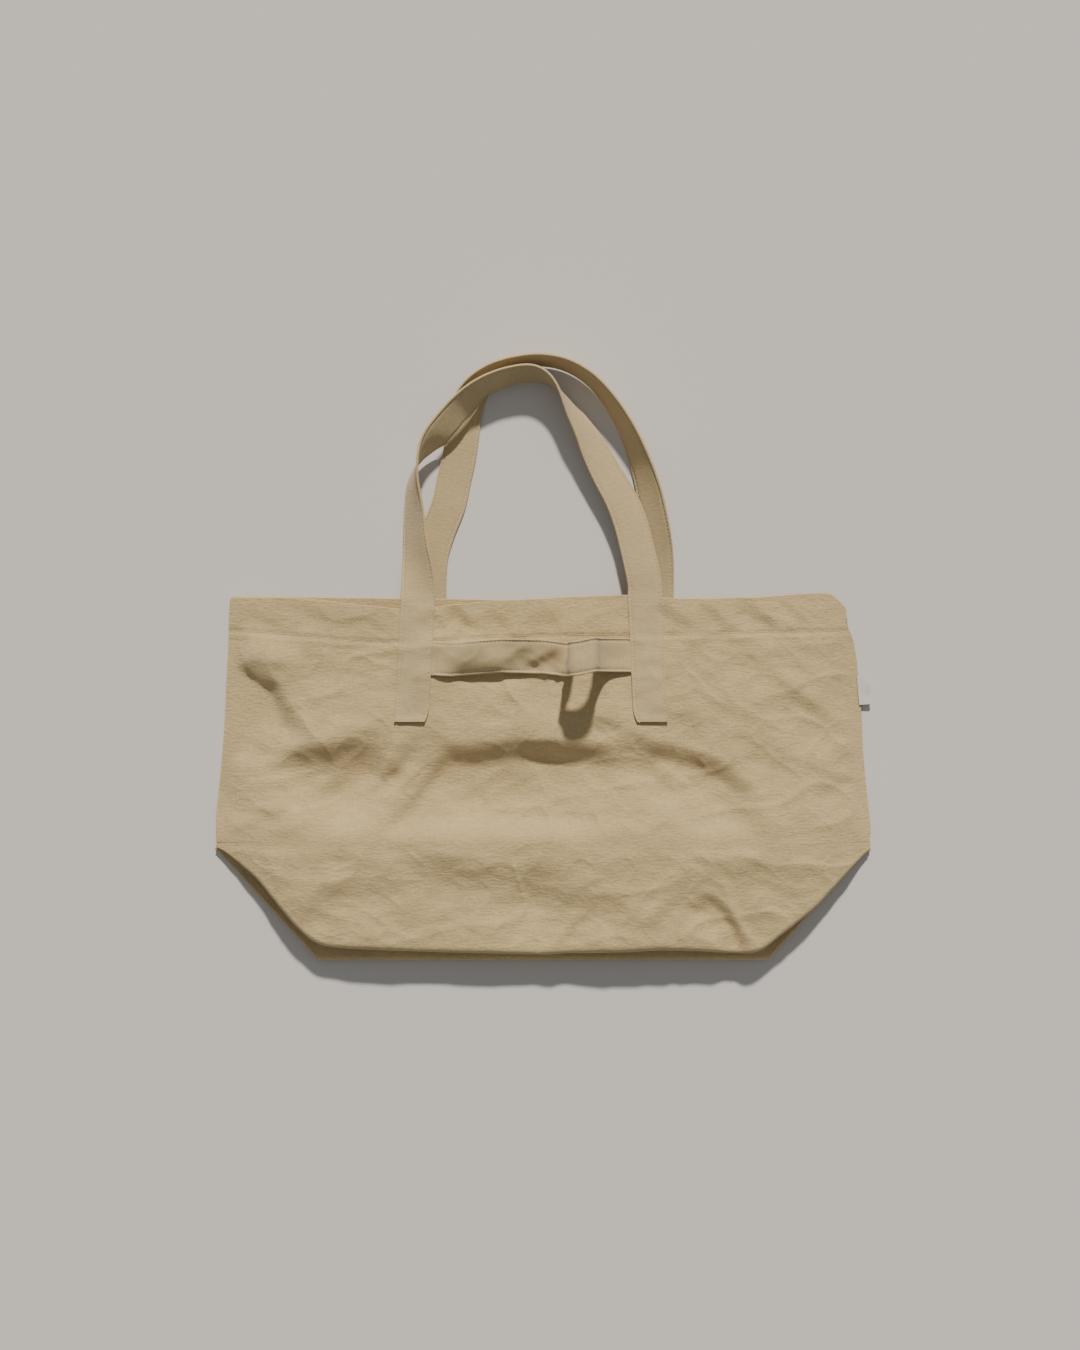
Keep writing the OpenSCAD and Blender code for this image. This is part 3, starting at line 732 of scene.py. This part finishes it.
def strap_piece(name, points, run):
    """A closed strap from rings of points. run is each ring's distance along the strap."""
    rings, sides = points.shape[:2]
    index = np.arange(rings * sides).reshape(rings, sides)
    turn = np.roll(index, -1, axis=1)
    faces = np.stack([index[:-1], index[1:], turn[1:], turn[:-1]], -1).reshape(-1, 4).tolist()
    half = len(STRAP_FACE)
    # Each end is closed by quads between the two faces.
    for ring, flip in ((0, False), (rings - 1, True)):
        for k in range(half - 1):
            a, b = index[ring, k], index[ring, k + 1]
            c, d = index[ring, (-k - 1) % sides], index[ring, (-k) % sides]
            quad = list(dict.fromkeys([a, b, c, d]))
            faces.append(quad[::-1] if flip else quad)
    made = make_piece(name, points, faces, ring_places(np.array(ring_outline())[:, 0], run))
    ends = set(index[0].tolist()), set(index[-1].tolist())
    for edge in made.data.edges:  # the cut ends are flat, so halves of one strap meet without a crease
        edge.use_edge_sharp = any(edge.vertices[0] in end and edge.vertices[1] in end for end in ends)
    return made


def run_along(middle):
    """The distance along a line of points, at each of them."""
    return np.concatenate([[0], np.cumsum(np.linalg.norm(np.diff(middle, axis=0), axis=1))])


def lie_on_front(points, lift):
    """Sewn cloth follows the front's face below the mouth, and leaves it at the mouth."""
    x, y, z = points[..., 0], points[..., 1], points[..., 2]
    sewn = 1 - smooth((y - (MOUTH_Y - 6)) / 16)
    on_panel = front_z(x, np.minimum(y, MOUTH_Y - 3)) - hem_relief(x, y) * 0.6 + lift
    moved = points.copy()
    moved[..., 2] = z * (1 - sewn) + (on_panel + z - FRONT_LEVEL) * sewn
    return moved


def over_tab(points):
    """How far the tab of the front strap lifts a handle end that lies on it."""
    x, y = points[..., 0], points[..., 1]
    along = smooth(1 - np.maximum(np.abs(y - STRAP_Y) - 15, 0) / 9)
    inside = np.minimum(np.abs(x - FRONT_LEFT_X - 8), np.abs(x - FRONT_RIGHT_X + 8))
    return 1.3 * along * smooth(1 - np.maximum(inside - 6, 0) / 12)


front_end_y = MOUTH_Y - SEWN_LENGTH
front_frames = handle_frames(FRONT_ROUTE, front_end_y, FRONT_LEVEL)
back_frames = handle_frames(BACK_ROUTE, front_end_y, BACK_LEVEL)

# How far each front handle end leans aside: Y, and how far along X.
LEFT_SPLAY = [(-60, -5.8), (56, 0)]
RIGHT_SPLAY = [(-60, 2.2), (56, -2.8), (100, -2.4), (150, 0)]


def splayed(points):
    """The two ends lean away from each other towards the base."""
    x, y = points[..., 0], points[..., 1]
    left, right = straight(LEFT_SPLAY, y), straight(RIGHT_SPLAY, y)
    moved = points.copy()
    moved[..., 0] += np.where(x < 0, left * smooth((90 - y) / 20), right * smooth((x - 20) / 30))
    worn = 3.4 * np.clip((front_end_y + 14 - y) / 14, 0, 1) ** 2
    inner = np.where(x < 0, np.clip(x - FRONT_LEFT_X, 0, 16), np.clip(x - FRONT_RIGHT_X, -16, 0))
    moved[..., 0] -= worn * inner / 16
    return moved


def on_front(points):
    """Places on the front handle as it lies: sewn to the panel, over the tabs, its ends proud."""
    points = splayed(points)
    ends = smooth((front_end_y + 7 - points[..., 1]) / 7)
    return lie_on_front(points, STRAP_THICK / 2 + 0.1 + over_tab(points) + 0.9 * ends)


def soft(frames, seed):
    """A little waviness out of the strap's face, away from its ends."""
    middle, across, face = frames
    run = run_along(middle)
    free = smooth((middle[:, 1] - MOUTH_Y) / 30)
    wave = 0.7 * lumps(run, 0 * run, 31, seed) + 0.3 * lumps(run, 0 * run, 13, seed + 1)
    return middle + (wave * free)[:, None] * face, across, face


front_frames = soft(front_frames, 41)
front_rings = on_front(strap_points(front_frames, ring_outline()))
front_handle = strap_piece("front_handle_strap", front_rings, run_along(front_frames[0]))
back_rings = strap_points(back_frames, ring_outline())
back_rings[..., 2] = np.maximum(back_rings[..., 2], 0.03)
back_handle = strap_piece("back_handle_strap", back_rings, run_along(back_frames[0]))


def strap_span(route):
    """Frames along the front strap, with its tabs, at a height over the panel's plane."""
    tab = 14
    left = [(route[0][0] - tab, 0.8), (route[0][0] - tab / 2, 0.9)]
    right = [(route[-1][0] + tab / 2, 0.9), (route[-1][0] + tab, 0.8)]
    line = smooth_route(left + list(route) + right, 1.6)
    middle = np.stack([line[:, 0], np.full(len(line), STRAP_Y), line[:, 1]], -1)
    forward = unit(np.gradient(middle, axis=0))
    across = np.tile([0, 1.0, 0], (len(line), 1))
    return middle, across, np.cross(forward, across)


STRAP_FOLDS = [
    (drop, [(-42, -9), (-24, 1), (-6, 11)], 10, 3.0, 12, 0.45),
    (drop, [(-24, -17), (-2, -3), (20, 11)], 10, 5.0, 14, 0.4),
    (ridge, [(-76, -13), (-52, -6), (-24, 5)], 6, 1.0),
    (ridge, [(-94, 4), (-70, 9), (-48, 8)], 5, 0.8),
]


def strap_wrinkles(points):
    """Diagonal creases where the slack of the strap starts to rise."""
    x, y = points[..., 0], points[..., 1]
    h = folded(x, y, STRAP_FOLDS)
    return h * smooth((y + 19) / 9) + 0.2 * lumps(x, y, 12, 73)


span_frames = strap_span(STRAP_ROUTE)
span_run = run_along(span_frames[0])
tabs = smooth((span_frames[0][:, 0] + 103) / 6) * smooth((84 - span_frames[0][:, 0]) / 6)


# Along X: how far the strap's slack lifts it, how far its upper edge tips up, and its shift along Y.
SPAN_SLACK = [(-100, 0), (-88, 2.6), (-66, 5.0), (-44, 5.4), (-20, 5.8), (0, 6.2), (14, 5.6), (22, 0)]
SPAN_TILT = [(-96, 2.5), (-60, 4.6), (10, 4.2), (24, 0), (40, 0), (80, 2.4)]
SPAN_SHIFT = [
    (-100, 0), (-86, -1), (-40, 2.6), (0, 1.8), (14, 0), (21, -1), (32, 0), (48, 3.4), (82, 3.2), (96, 0)
]


def on_span(points):
    """Places on the front strap as it lies: its heights are over the panel's own face."""
    moved = points.copy()
    x, y = points[..., 0], points[..., 1]
    free = smooth((x + 99) / 26) * smooth((80 - x) / 22)
    flat_part = smooth((24 - x) / 6) * smooth((x + 96) / 20)
    aside = (y - STRAP_Y) / (STRAP_WIDTH / 2)
    slack = straight(SPAN_SLACK, x)
    crown = 0.8 * (1 - aside**2) * smooth((22 - x) / 8)
    tilt = straight(SPAN_TILT, x) * aside
    rise = moved[..., 2] - 1.3 + slack + strap_wrinkles(points) * flat_part + (crown + tilt) * free
    moved[..., 2] = front_z(x, y) + 1.3 + np.maximum(rise, 0.25 * rise - 0.2)
    high = points[..., 2]
    moved[..., 0] += 5.5 * aside * smooth((high - 3) / 9) * smooth((50 - high) / 9) * smooth((34 - x) / 6)
    moved[..., 1] += straight(SPAN_SHIFT, x)
    return moved


span_rings = on_span(strap_points(span_frames, ring_outline(), 0.45 + 0.55 * tabs))
crest = int(np.argmax(span_frames[0][:, 2]))
front_strap_left = strap_piece("front_strap_left", span_rings[: crest + 1], span_run[: crest + 1])
front_strap_right = strap_piece("front_strap_right", span_rings[crest:], span_run[crest:])

# ---------------------------------------------------------------- stitching

STITCH_PITCH = 3.5
STITCH_LENGTH = 2.7
THREAD_R = 0.3


def stitch_shape():
    """One stitch: a short thread that dips into the cloth at both ends."""
    stations = [(-1.0, 0.25), (-0.8, 0.8), (-0.3, 1.0), (0.3, 1.0), (0.8, 0.8), (1.0, 0.25)]
    sides = 6
    points = []
    for t, r in stations:
        for k in range(sides):
            angle = 2 * np.pi * k / sides
            sunk = -0.9 * THREAD_R * abs(t) ** 3
            aside, above = r * THREAD_R * np.cos(angle), r * THREAD_R * np.sin(angle)
            points.append((t * STITCH_LENGTH / 2, aside, sunk + above))
    faces = []
    for i in range(len(stations) - 1):
        for k in range(sides):
            a, b = i * sides + k, i * sides + (k + 1) % sides
            faces.append((a, a + sides, b + sides, b))
    faces.append(tuple(range(sides)))
    last = (len(stations) - 1) * sides
    faces.append(tuple(range(last + sides - 1, last - 1, -1)))
    return np.array(points), faces


def stitches(line, up, pitch=STITCH_PITCH):
    """Frames of separate stitches, evenly spaced along a line of points with their outward directions."""
    run = run_along(line)
    at = np.arange(pitch / 2, run[-1], pitch)
    place, ahead, out = (
        np.stack([np.interp(where, run, values[:, k]) for k in range(3)], -1)
        for where, values in ((at, line), (at + 0.5, line), (at, up))
    )
    out, forward = unit(out), unit(ahead - place)
    return place, forward, unit(np.cross(out, forward)), out


def thread_piece(name, rows):
    """All the stitches of some rows as one piece."""
    shape, shape_faces = stitch_shape()
    place, forward, aside, out = (np.concatenate([row[k] for row in rows]) for k in range(4))
    points = (
        place[:, None]
        + shape[None, :, 0:1] * forward[:, None]
        + shape[None, :, 1:2] * aside[:, None]
        + shape[None, :, 2:3] * out[:, None]
    )
    faces = []
    for i in range(len(place)):
        base = i * len(shape)
        faces.extend(tuple(base + v for v in face) for face in shape_faces)
    return make_piece(name, points, faces)


def edge_rows(frames, place_on, faces=(1, -1), keep=slice(None)):
    """A row of stitches in each groove of a strap, on the faces asked for."""
    rows = []
    for face in faces:
        for side in (-1, 1):
            line = place_on(strap_points(frames, [(side * STITCH_LINE, face * 0.7)]))[keep, 0]
            rows.append(stitches(line, frames[2][keep] * face))
    return rows


def hem_row(start, end):
    """The hem's row of stitches on the front, from one X to another."""
    xs = np.arange(start, end, 1.2)
    ys = follow(HEM_LINE, xs)
    line = np.stack([xs, ys, front_z(xs, ys) + 0.1], -1)
    slope_x = (front_z(xs + 1, ys) - front_z(xs - 1, ys)) / 2
    slope_y = (front_z(xs, ys + 1) - front_z(xs, ys - 1)) / 2
    return stitches(line, np.stack([-slope_x, -slope_y, np.ones(len(xs))], -1))


clear_of_strap = STRAP_WIDTH / 2 + 0.5
hem_left = thread_piece("front_hem_thread_left", [hem_row(2 - HALF_MOUTH, FRONT_LEFT_X - clear_of_strap)])
hem_middle = thread_piece(
    "front_hem_thread_middle", [hem_row(FRONT_LEFT_X + clear_of_strap, FRONT_RIGHT_X - clear_of_strap)]
)
hem_right = thread_piece("front_hem_thread_right", [hem_row(FRONT_RIGHT_X + clear_of_strap, HALF_MOUTH - 8)])


def across_end(x, y):
    """A row of stitches across a front handle end."""
    xs = np.arange(x - STITCH_LINE + 1, x + STITCH_LINE - 1, 1.0)
    line = np.stack([xs, np.full(len(xs), y), np.full(len(xs), FRONT_LEVEL + 1.2)], -1)
    return stitches(on_front(line), np.tile([0, 0, 1.0], (len(xs), 1)), 3.2)


front_rows = edge_rows(front_frames, on_front)
for end_x in (FRONT_LEFT_X, FRONT_RIGHT_X):
    front_rows.append(across_end(end_x, front_end_y + 2.5))
    front_rows.append(across_end(end_x, MOUTH_Y - 6))
front_handle_thread = thread_piece("front_handle_thread", front_rows)


def as_is(points):
    """Places on the back handle, which lies as its route says."""
    return points


free_back = np.flatnonzero(back_frames[0][:, 1] > MOUTH_Y + 1)
back_handle_thread = thread_piece(
    "back_handle_thread", edge_rows(back_frames, as_is, (1,), slice(free_back[0], free_back[-1] + 1))
)


free_span = np.flatnonzero((span_frames[0][:, 0] > -100) & (span_frames[0][:, 0] < 81))
strap_thread_left = thread_piece(
    "front_strap_thread_left", edge_rows(span_frames, on_span, keep=slice(free_span[0], crest + 1))
)
strap_thread_right = thread_piece(
    "front_strap_thread_right", edge_rows(span_frames, on_span, keep=slice(crest, free_span[-1] + 1))
)


def back_row(xs, ys):
    """A row of stitches along the inside of the back."""
    z = 1.3 + STRAP_THICK * near_end(xs, ys) + back_lift(xs, ys)
    line = np.stack([xs, ys, z], -1)
    return stitches(line, np.tile([0, 0, 1.0], (len(xs), 1)))


row_x = np.arange(8 - HALF_MOUTH, HALF_MOUTH - 8, 1.5)
row_y = np.full(len(row_x), MOUTH_Y - HEM_DEPTH + 2.5)
back_hem_thread = thread_piece("back_hem_thread", [back_row(row_x, row_y)])


def end_box(x):
    """The seam that holds a back handle end, where it comes through to the inside."""
    half, low, high = STITCH_LINE, front_end_y + 2.5, MOUTH_Y - HEM_DEPTH - 2
    up = np.arange(low, high, 1.2)
    over = np.arange(x - half, x + half, 1.2)
    return [
        back_row(np.full(len(up), x - half), up),
        back_row(np.full(len(up), x + half), up),
        back_row(over, np.full(len(over), low)),
    ]


back_left_end_thread = thread_piece("back_left_end_thread", end_box(-BACK_END_X))
back_right_end_thread = thread_piece("back_right_end_thread", end_box(BACK_END_X))

# ---------------------------------------------------------------- seams and label


def binding(name, spine, half_wide, thick):
    """A bound seam: a flat roll of tape along a line, with rounded edges."""
    line = np.array(spine, float)
    run = run_along(line)
    even = np.linspace(0, run[-1], max(3, int(run[-1] / 4)))
    middle = np.stack([np.interp(even, run, line[:, k]) for k in range(3)], -1)
    up = np.array([0, 0, 1.0])
    aside = unit(np.cross(up, unit(np.gradient(middle, axis=0))))
    angles = np.linspace(0, 2 * np.pi, 13)[:-1]
    a = half_wide * np.sign(np.cos(angles)) * np.abs(np.cos(angles)) ** 0.5
    h = thick / 2 * np.sign(np.sin(angles)) * np.abs(np.sin(angles)) ** 0.8
    wave = 1 + 0.12 * lumps(even, 0 * even, 9, 51)
    points = middle[:, None] + a[:, None] * aside[:, None] + (h * wave[:, None])[..., None] * up
    index = np.arange(len(even) * len(angles)).reshape(len(even), len(angles))
    turn = np.roll(index, -1, axis=1)
    faces = np.stack([index[:-1], turn[:-1], turn[1:], index[1:]], -1).reshape(-1, 4).tolist()
    faces.append(index[0][::-1].tolist())
    faces.append(index[-1].tolist())
    return make_piece(name, points, faces, ring_places(a, even))


# How far each bound side seam lies inside the bag's straight side: Y, and how far in.
LEFT_SEAM_IN = [(-180, 7.5), (-150, 7), (20, 8), (40, 12), (56, 13)]
RIGHT_SEAM_IN = [(-180, 7.5), (-150, 7), (14, 7.5), (24, 13), (32, 16), (44, 17), (50, 21), (56, 24)]


SEAM_HALF_WIDE = 4.5
SEAM_THICK = 1.6


def side_spine(sign):
    """The line of a side seam: sign is -1 on the left and 1 on the right."""
    ys = np.linspace(CORNER_Y + 6, MOUTH_Y - 4, 24)
    inset = follow(LEFT_SEAM_IN if sign < 0 else RIGHT_SEAM_IN, ys)
    return np.stack([sign * (half_width(ys) - inset), ys, 3.0 + 0.25 * (edge_height(ys) - EDGE_Z)], -1)


left_seam = binding("left_side_seam_binding", side_spine(-1), SEAM_HALF_WIDE, SEAM_THICK)
right_seam = binding("right_side_seam_binding", side_spine(1), SEAM_HALF_WIDE, SEAM_THICK)


def corner_spine(node):
    """The line of a corner seam, along the middle of its solid."""
    low, high = corners(node)
    x, z = (low[0] + high[0]) / 2, (low[2] + high[2]) / 2
    return [(x, low[1], z), (x, (low[1] + high[1]) / 2, z), (x, high[1], z)]


CORNER_SEAMS = (
    ("back_left_corner_seam", "bag_back"), ("back_right_corner_seam", "bag_back"),
    ("front_left_corner_seam", "base_front"), ("front_right_corner_seam", "base_front"),
)
corner_pieces = [
    (binding(node + "_binding", corner_spine(node), SEAM_HALF_WIDE, SEAM_THICK), node, body)
    for node, body in CORNER_SEAMS
]
seam_low, seam_high = corners("base_centre_seam")
seam_y, seam_z = (seam_low[1] + seam_high[1]) / 2, (seam_low[2] + seam_high[2]) / 2
base_seam = binding(
    "base_centre_seam_binding", [(x, seam_y, seam_z) for x in (seam_low[0], 0, seam_high[0])], 4, 6.2
)

LABEL_Y = -30.0
LABEL_HEIGHT = 27.0
LABEL_OUT = 10.5
side_angle = math.atan((HALF_WIDEST - HALF_MOUTH) / (MOUTH_Y - CORNER_Y))


def label_piece():
    """A folded tape: two layers that leave the seam together and part a little before the fold."""
    tape = 0.45
    outline = []
    for share in np.linspace(0, 1, 9):
        outline.append((LABEL_OUT * share - 0.4, 0.35 + 0.75 * smooth(share)))
    for angle in np.linspace(np.pi / 2, -np.pi / 2, 8)[1:-1]:
        outline.append((LABEL_OUT - 0.4 + 1.0 * np.cos(angle), 0.1 + 1.0 * np.sin(angle)))
    for share in np.linspace(1, 0, 9):
        outline.append((LABEL_OUT * share - 0.4, -0.15 - 0.75 * smooth(share)))
    profile = np.array(outline)
    rows = np.linspace(-LABEL_HEIGHT / 2, LABEL_HEIGHT / 2, 19)
    centre = np.array([half_width(LABEL_Y) + 0.5, LABEL_Y, 4.3])
    turn_x = np.array([math.cos(side_angle), math.sin(side_angle), 0])
    turn_y = np.array([-math.sin(side_angle), math.cos(side_angle), 0])
    grid = np.empty((len(profile), len(rows), 3))
    for j, along in enumerate(rows):
        curl = 0.5 * math.sin(along / 7.0) + 0.25 * math.sin(along / 2.6)
        for i, (out, up) in enumerate(profile):
            bent = (out / LABEL_OUT) ** 2
            grid[i, j] = centre + out * turn_x + along * turn_y + np.array([0, 0, up + curl * bent])
    run = run_along(grid[:, 0])
    flat = np.stack(np.meshgrid(rows, run), -1)
    return sheet_mesh("side_label_tape", grid, tape, flat)


label = label_piece()

# ---------------------------------------------------------------- materials


class Nodes:
    """A material's nodes, added and linked by name."""

    def __init__(self, name):
        self.material = bpy.data.materials.new(name)
        self.material.use_nodes = True
        self.tree = self.material.node_tree
        self.shader = self.tree.nodes["Principled BSDF"]

    def add(self, kind, **values):
        node = self.tree.nodes.new("ShaderNode" + kind)
        for key, value in values.items():
            if key in node.inputs:
                node.inputs[key].default_value = value
            else:
                setattr(node, key, value)
        return node

    def link(self, source, target):
        self.tree.links.new(source, target)

    def math(self, operation, first, second):
        node = self.add("Math", operation=operation)
        for socket, value in zip(node.inputs, (first, second)):
            if hasattr(value, "is_output"):
                self.link(value, socket)
            else:
                socket.default_value = value
        return node.outputs[0]

    def noise(self, vector, stretch, detail=2.0, roughness=0.5):
        """Noise with a grain of its own along each axis, in waves per metre."""
        mapping = self.add("Mapping", Scale=stretch)
        self.link(vector, mapping.inputs["Vector"])
        node = self.add("TexNoise", Scale=1.0, Detail=detail, Roughness=roughness)
        self.link(mapping.outputs[0], node.inputs["Vector"])
        return node.outputs["Fac"]

    def bands(self, vector, direction, pitch, distortion, detail=2.0):
        """Threads or ribs side by side along one axis, pitch metres apart."""
        scale = math.pi / pitch / 10
        node = self.add("TexWave", wave_type="BANDS", bands_direction=direction, Scale=scale)
        node.inputs["Distortion"].default_value = distortion
        node.inputs["Detail"].default_value = detail
        self.link(vector, node.inputs["Vector"])
        return node.outputs["Fac"]

    def ramp(self, value, stops):
        node = self.add("ValToRGB")
        self.link(value, node.inputs[0])
        elements = node.color_ramp.elements
        while len(elements) < len(stops):
            elements.new(0.5)
        for element, (position, colour) in zip(elements, stops):
            element.position = position
            element.color = colour if len(colour) == 4 else (*colour, 1)
        return node.outputs["Color"]

    def mix(self, first, second, amount, blend="MULTIPLY"):
        node = self.add("Mix", data_type="RGBA", blend_type=blend)
        node.inputs[0].default_value = amount
        self.link(first, node.inputs[6])
        self.link(second, node.inputs[7])
        return node.outputs[2]

    def bump(self, height, distance, strength=1.0, below=None):
        node = self.add("Bump", Strength=strength, Distance=distance)
        self.link(height, node.inputs["Height"])
        if below is not None:
            self.link(below, node.inputs["Normal"])
        return node.outputs[0]


def shade(seen, strength):
    """A colour as it is seen, turned to the shader's scale and made lighter or darker."""
    return tuple((c / 255) ** 2.2 * strength for c in seen)


def grey(value):
    """A factor for a colour: 1 leaves it as it is."""
    return (value, value, value)


def canvas(name, seen, pitch=0.00085, slub=1.0, crumple=1.0):
    """Plain-weave cotton canvas: threads, thick slubs, soft blotches and a matte fuzz."""
    n = Nodes(name)
    place = n.add("UVMap", uv_map="cloth").outputs[0]
    weave = n.math("MULTIPLY", *(n.bands(place, axis, pitch, 1.2, 1.0) for axis in ("X", "Y")))
    slubs = n.noise(place, (110, 560, 1), 3.0, 0.6)
    slubs_up = n.noise(place, (700, 90, 1), 2.0, 0.55)
    crinkle = n.noise(place, (200, 380, 1), 4.0, 0.6)
    blotch = n.noise(place, (16, 22, 1), 3.0, 0.55)
    fuzz = n.noise(place, (1500, 1500, 1), 2.0, 0.7)
    base = n.ramp(blotch, [(0.3, shade(seen, 0.94)), (0.7, shade(seen, 1.05))])
    colour = n.mix(base, n.ramp(slubs, [(0.25, grey(0.9)), (0.5, grey(1.0)), (0.8, grey(1.08))]), slub)
    colour = n.mix(colour, n.ramp(slubs_up, [(0.3, grey(0.95)), (0.7, grey(1.04))]), 0.8)
    colour = n.mix(colour, n.ramp(crinkle, [(0.3, grey(0.93)), (0.7, grey(1.05))]), 0.8)
    colour = n.mix(colour, n.ramp(weave, [(0.0, grey(0.8)), (0.6, grey(1.05))]), 0.7)
    colour = n.mix(colour, n.ramp(fuzz, [(0.3, grey(0.92)), (0.75, grey(1.08))]), 0.6)
    n.link(colour, n.shader.inputs["Base Color"])
    normal = n.bump(weave, 0.00022)
    normal = n.bump(slubs, 0.0004 * slub, 0.8, normal)
    normal = n.bump(crinkle, 0.0013 * crumple, 0.8, normal)
    normal = n.bump(fuzz, 0.0002, 0.6, normal)
    n.link(normal, n.shader.inputs["Normal"])
    n.shader.inputs["Roughness"].default_value = 0.92
    n.shader.inputs["Specular IOR Level"].default_value = 0.15
    n.shader.inputs["Sheen Weight"].default_value = 0.25
    n.shader.inputs["Sheen Roughness"].default_value = 0.6
    return n.material


def spun_thread(name, seen):
    """Sewing thread: two plies that show as a fine slanting twist."""
    n = Nodes(name)
    place = n.add("TexCoord").outputs["Object"]
    twist = n.add("TexWave", wave_type="BANDS", bands_direction="DIAGONAL", Scale=260.0, Distortion=0.6)
    n.link(place, twist.inputs["Vector"])
    colour = n.ramp(twist.outputs["Fac"], [(0.0, shade(seen, 0.82)), (1.0, shade(seen, 1.0))])
    n.link(colour, n.shader.inputs["Base Color"])
    n.link(n.bump(twist.outputs["Fac"], 0.0001), n.shader.inputs["Normal"])
    n.shader.inputs["Roughness"].default_value = 0.7
    n.shader.inputs["Sheen Weight"].default_value = 0.15
    return n.material


def woven_tape(name, seen):
    """The label's smooth white tape, with fine cross ribs."""
    n = Nodes(name)
    place = n.add("UVMap", uv_map="cloth").outputs[0]
    ribs = n.bands(place, "Y", 0.0005, 0.5)
    soil = n.noise(place, (90, 90, 1), 3.0, 0.6)
    colour = n.ramp(soil, [(0.3, shade(seen, 0.9)), (0.7, shade(seen, 1.0))])
    colour = n.mix(colour, n.ramp(ribs, [(0.0, grey(0.88)), (1.0, grey(1.0))]), 1.0)
    n.link(colour, n.shader.inputs["Base Color"])
    n.link(n.bump(ribs, 0.00012), n.shader.inputs["Normal"])
    n.shader.inputs["Roughness"].default_value = 0.6
    n.shader.inputs["Sheen Weight"].default_value = 0.3
    return n.material


panel_canvas = canvas("natural_canvas", (204, 178, 128))
strap_canvas = canvas("folded_strap_canvas", (200, 176, 130), slub=0.5, crumple=0.4)
binding_canvas = canvas("seam_binding", (208, 188, 150), pitch=0.0006, slub=0.4, crumple=0.4)
cotton_thread = spun_thread("cotton_thread", (224, 204, 165))
label_tape = woven_tape("white_label_tape", (226, 221, 216))

# ---------------------------------------------------------------- what moves with what


def finish_piece(piece, material, slot, *nodes):
    """Gives a piece its material, and hides the solids that it stands for. slot is not used."""
    piece.data.materials.append(material)
    if nodes:
        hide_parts(*nodes)


for piece, thread, sign in ((front_left, hem_left, -1), (front_right, hem_right, 1)):
    for moved in (piece, thread):
        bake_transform(moved)
for piece in (front_middle, hem_middle):
    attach(piece, "bag_front")
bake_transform(front_base)
back_threads = (back_hem_thread, back_left_end_thread, back_right_end_thread)
for piece in (back, *back_threads, left_seam, right_seam, base_seam):
    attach(piece, "bag_back")
for piece, node, body in corner_pieces:
    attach(piece, body)
    finish_piece(piece, binding_canvas, "binding", node)
for piece in (front_handle, front_handle_thread):
    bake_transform(piece)
for piece in (back_handle, back_handle_thread):
    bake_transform(piece)
for piece in (front_strap_left, strap_thread_left):
    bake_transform(piece)
for piece in (front_strap_right, strap_thread_right):
    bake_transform(piece)
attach(label, "side_label")

finish_piece(front_left, panel_canvas, "canvas")
finish_piece(front_middle, panel_canvas, "canvas", "front_panel", "front_hem")
finish_piece(front_right, panel_canvas, "canvas")
finish_piece(front_base, panel_canvas, "canvas", "front_base_panel")
finish_piece(back, panel_canvas, "canvas", "back_panel", "back_base_panel", "back_hem")
finish_piece(
    front_handle, strap_canvas, "strap_canvas",
    "front_handle", "front_handle_left_end", "front_handle_right_end",
)
finish_piece(
    back_handle, strap_canvas, "strap_canvas",
    "back_handle", "back_handle_left_end", "back_handle_right_end",
)
finish_piece(front_strap_left, strap_canvas, "strap_canvas", "front_strap", "front_strap_left_tab")
finish_piece(front_strap_right, strap_canvas, "strap_canvas", "front_strap_right_tab")
finish_piece(hem_left, cotton_thread, "thread")
finish_piece(hem_middle, cotton_thread, "thread", "front_hem_stitching")
finish_piece(hem_right, cotton_thread, "thread")
finish_piece(
    front_handle_thread, cotton_thread, "thread",
    "front_handle_stitching", "front_left_end_stitching", "front_right_end_stitching",
)
finish_piece(back_handle_thread, cotton_thread, "thread", "back_handle_stitching")
finish_piece(strap_thread_left, cotton_thread, "thread", "front_strap_stitching")
finish_piece(strap_thread_right, cotton_thread, "thread")
finish_piece(back_hem_thread, cotton_thread, "thread", "back_hem_stitching")
finish_piece(back_left_end_thread, cotton_thread, "thread", "back_left_end_stitching")
finish_piece(back_right_end_thread, cotton_thread, "thread", "back_right_end_stitching")
finish_piece(left_seam, binding_canvas, "binding", "left_side_seam")
finish_piece(right_seam, binding_canvas, "binding", "right_side_seam")
finish_piece(base_seam, binding_canvas, "binding", "base_centre_seam")
finish_piece(label, label_tape, "label", "side_label")

# ---------------------------------------------------------------- floor and light

bpy.ops.object.select_all(action="DESELECT")
bpy.ops.mesh.primitive_plane_add(size=40, location=(0, 0, -0.0003))
floor = bpy.context.active_object
floor.name = "floor"
floor_nodes = Nodes("pale_floor")
floor_nodes.shader.inputs["Base Color"].default_value = (0.62, 0.59, 0.55, 1)
floor_nodes.shader.inputs["Roughness"].default_value = 0.9
floor.data.materials.append(floor_nodes.material)

world = bpy.data.worlds.new("studio")
world.use_nodes = True
world.node_tree.nodes["Background"].inputs[0].default_value = (0.93, 0.96, 1.0, 1)
world.node_tree.nodes["Background"].inputs[1].default_value = 0.3
bpy.context.scene.world = world

key = bpy.data.lights.new("key", "SUN")
key.energy = 4.7
key.angle = math.radians(4)
key.color = (1.0, 0.95, 0.87)
key_object = bpy.data.objects.new("key", key)
key_object.rotation_euler = (math.radians(-52), 0, math.radians(-5))
bpy.context.scene.collection.objects.link(key_object)
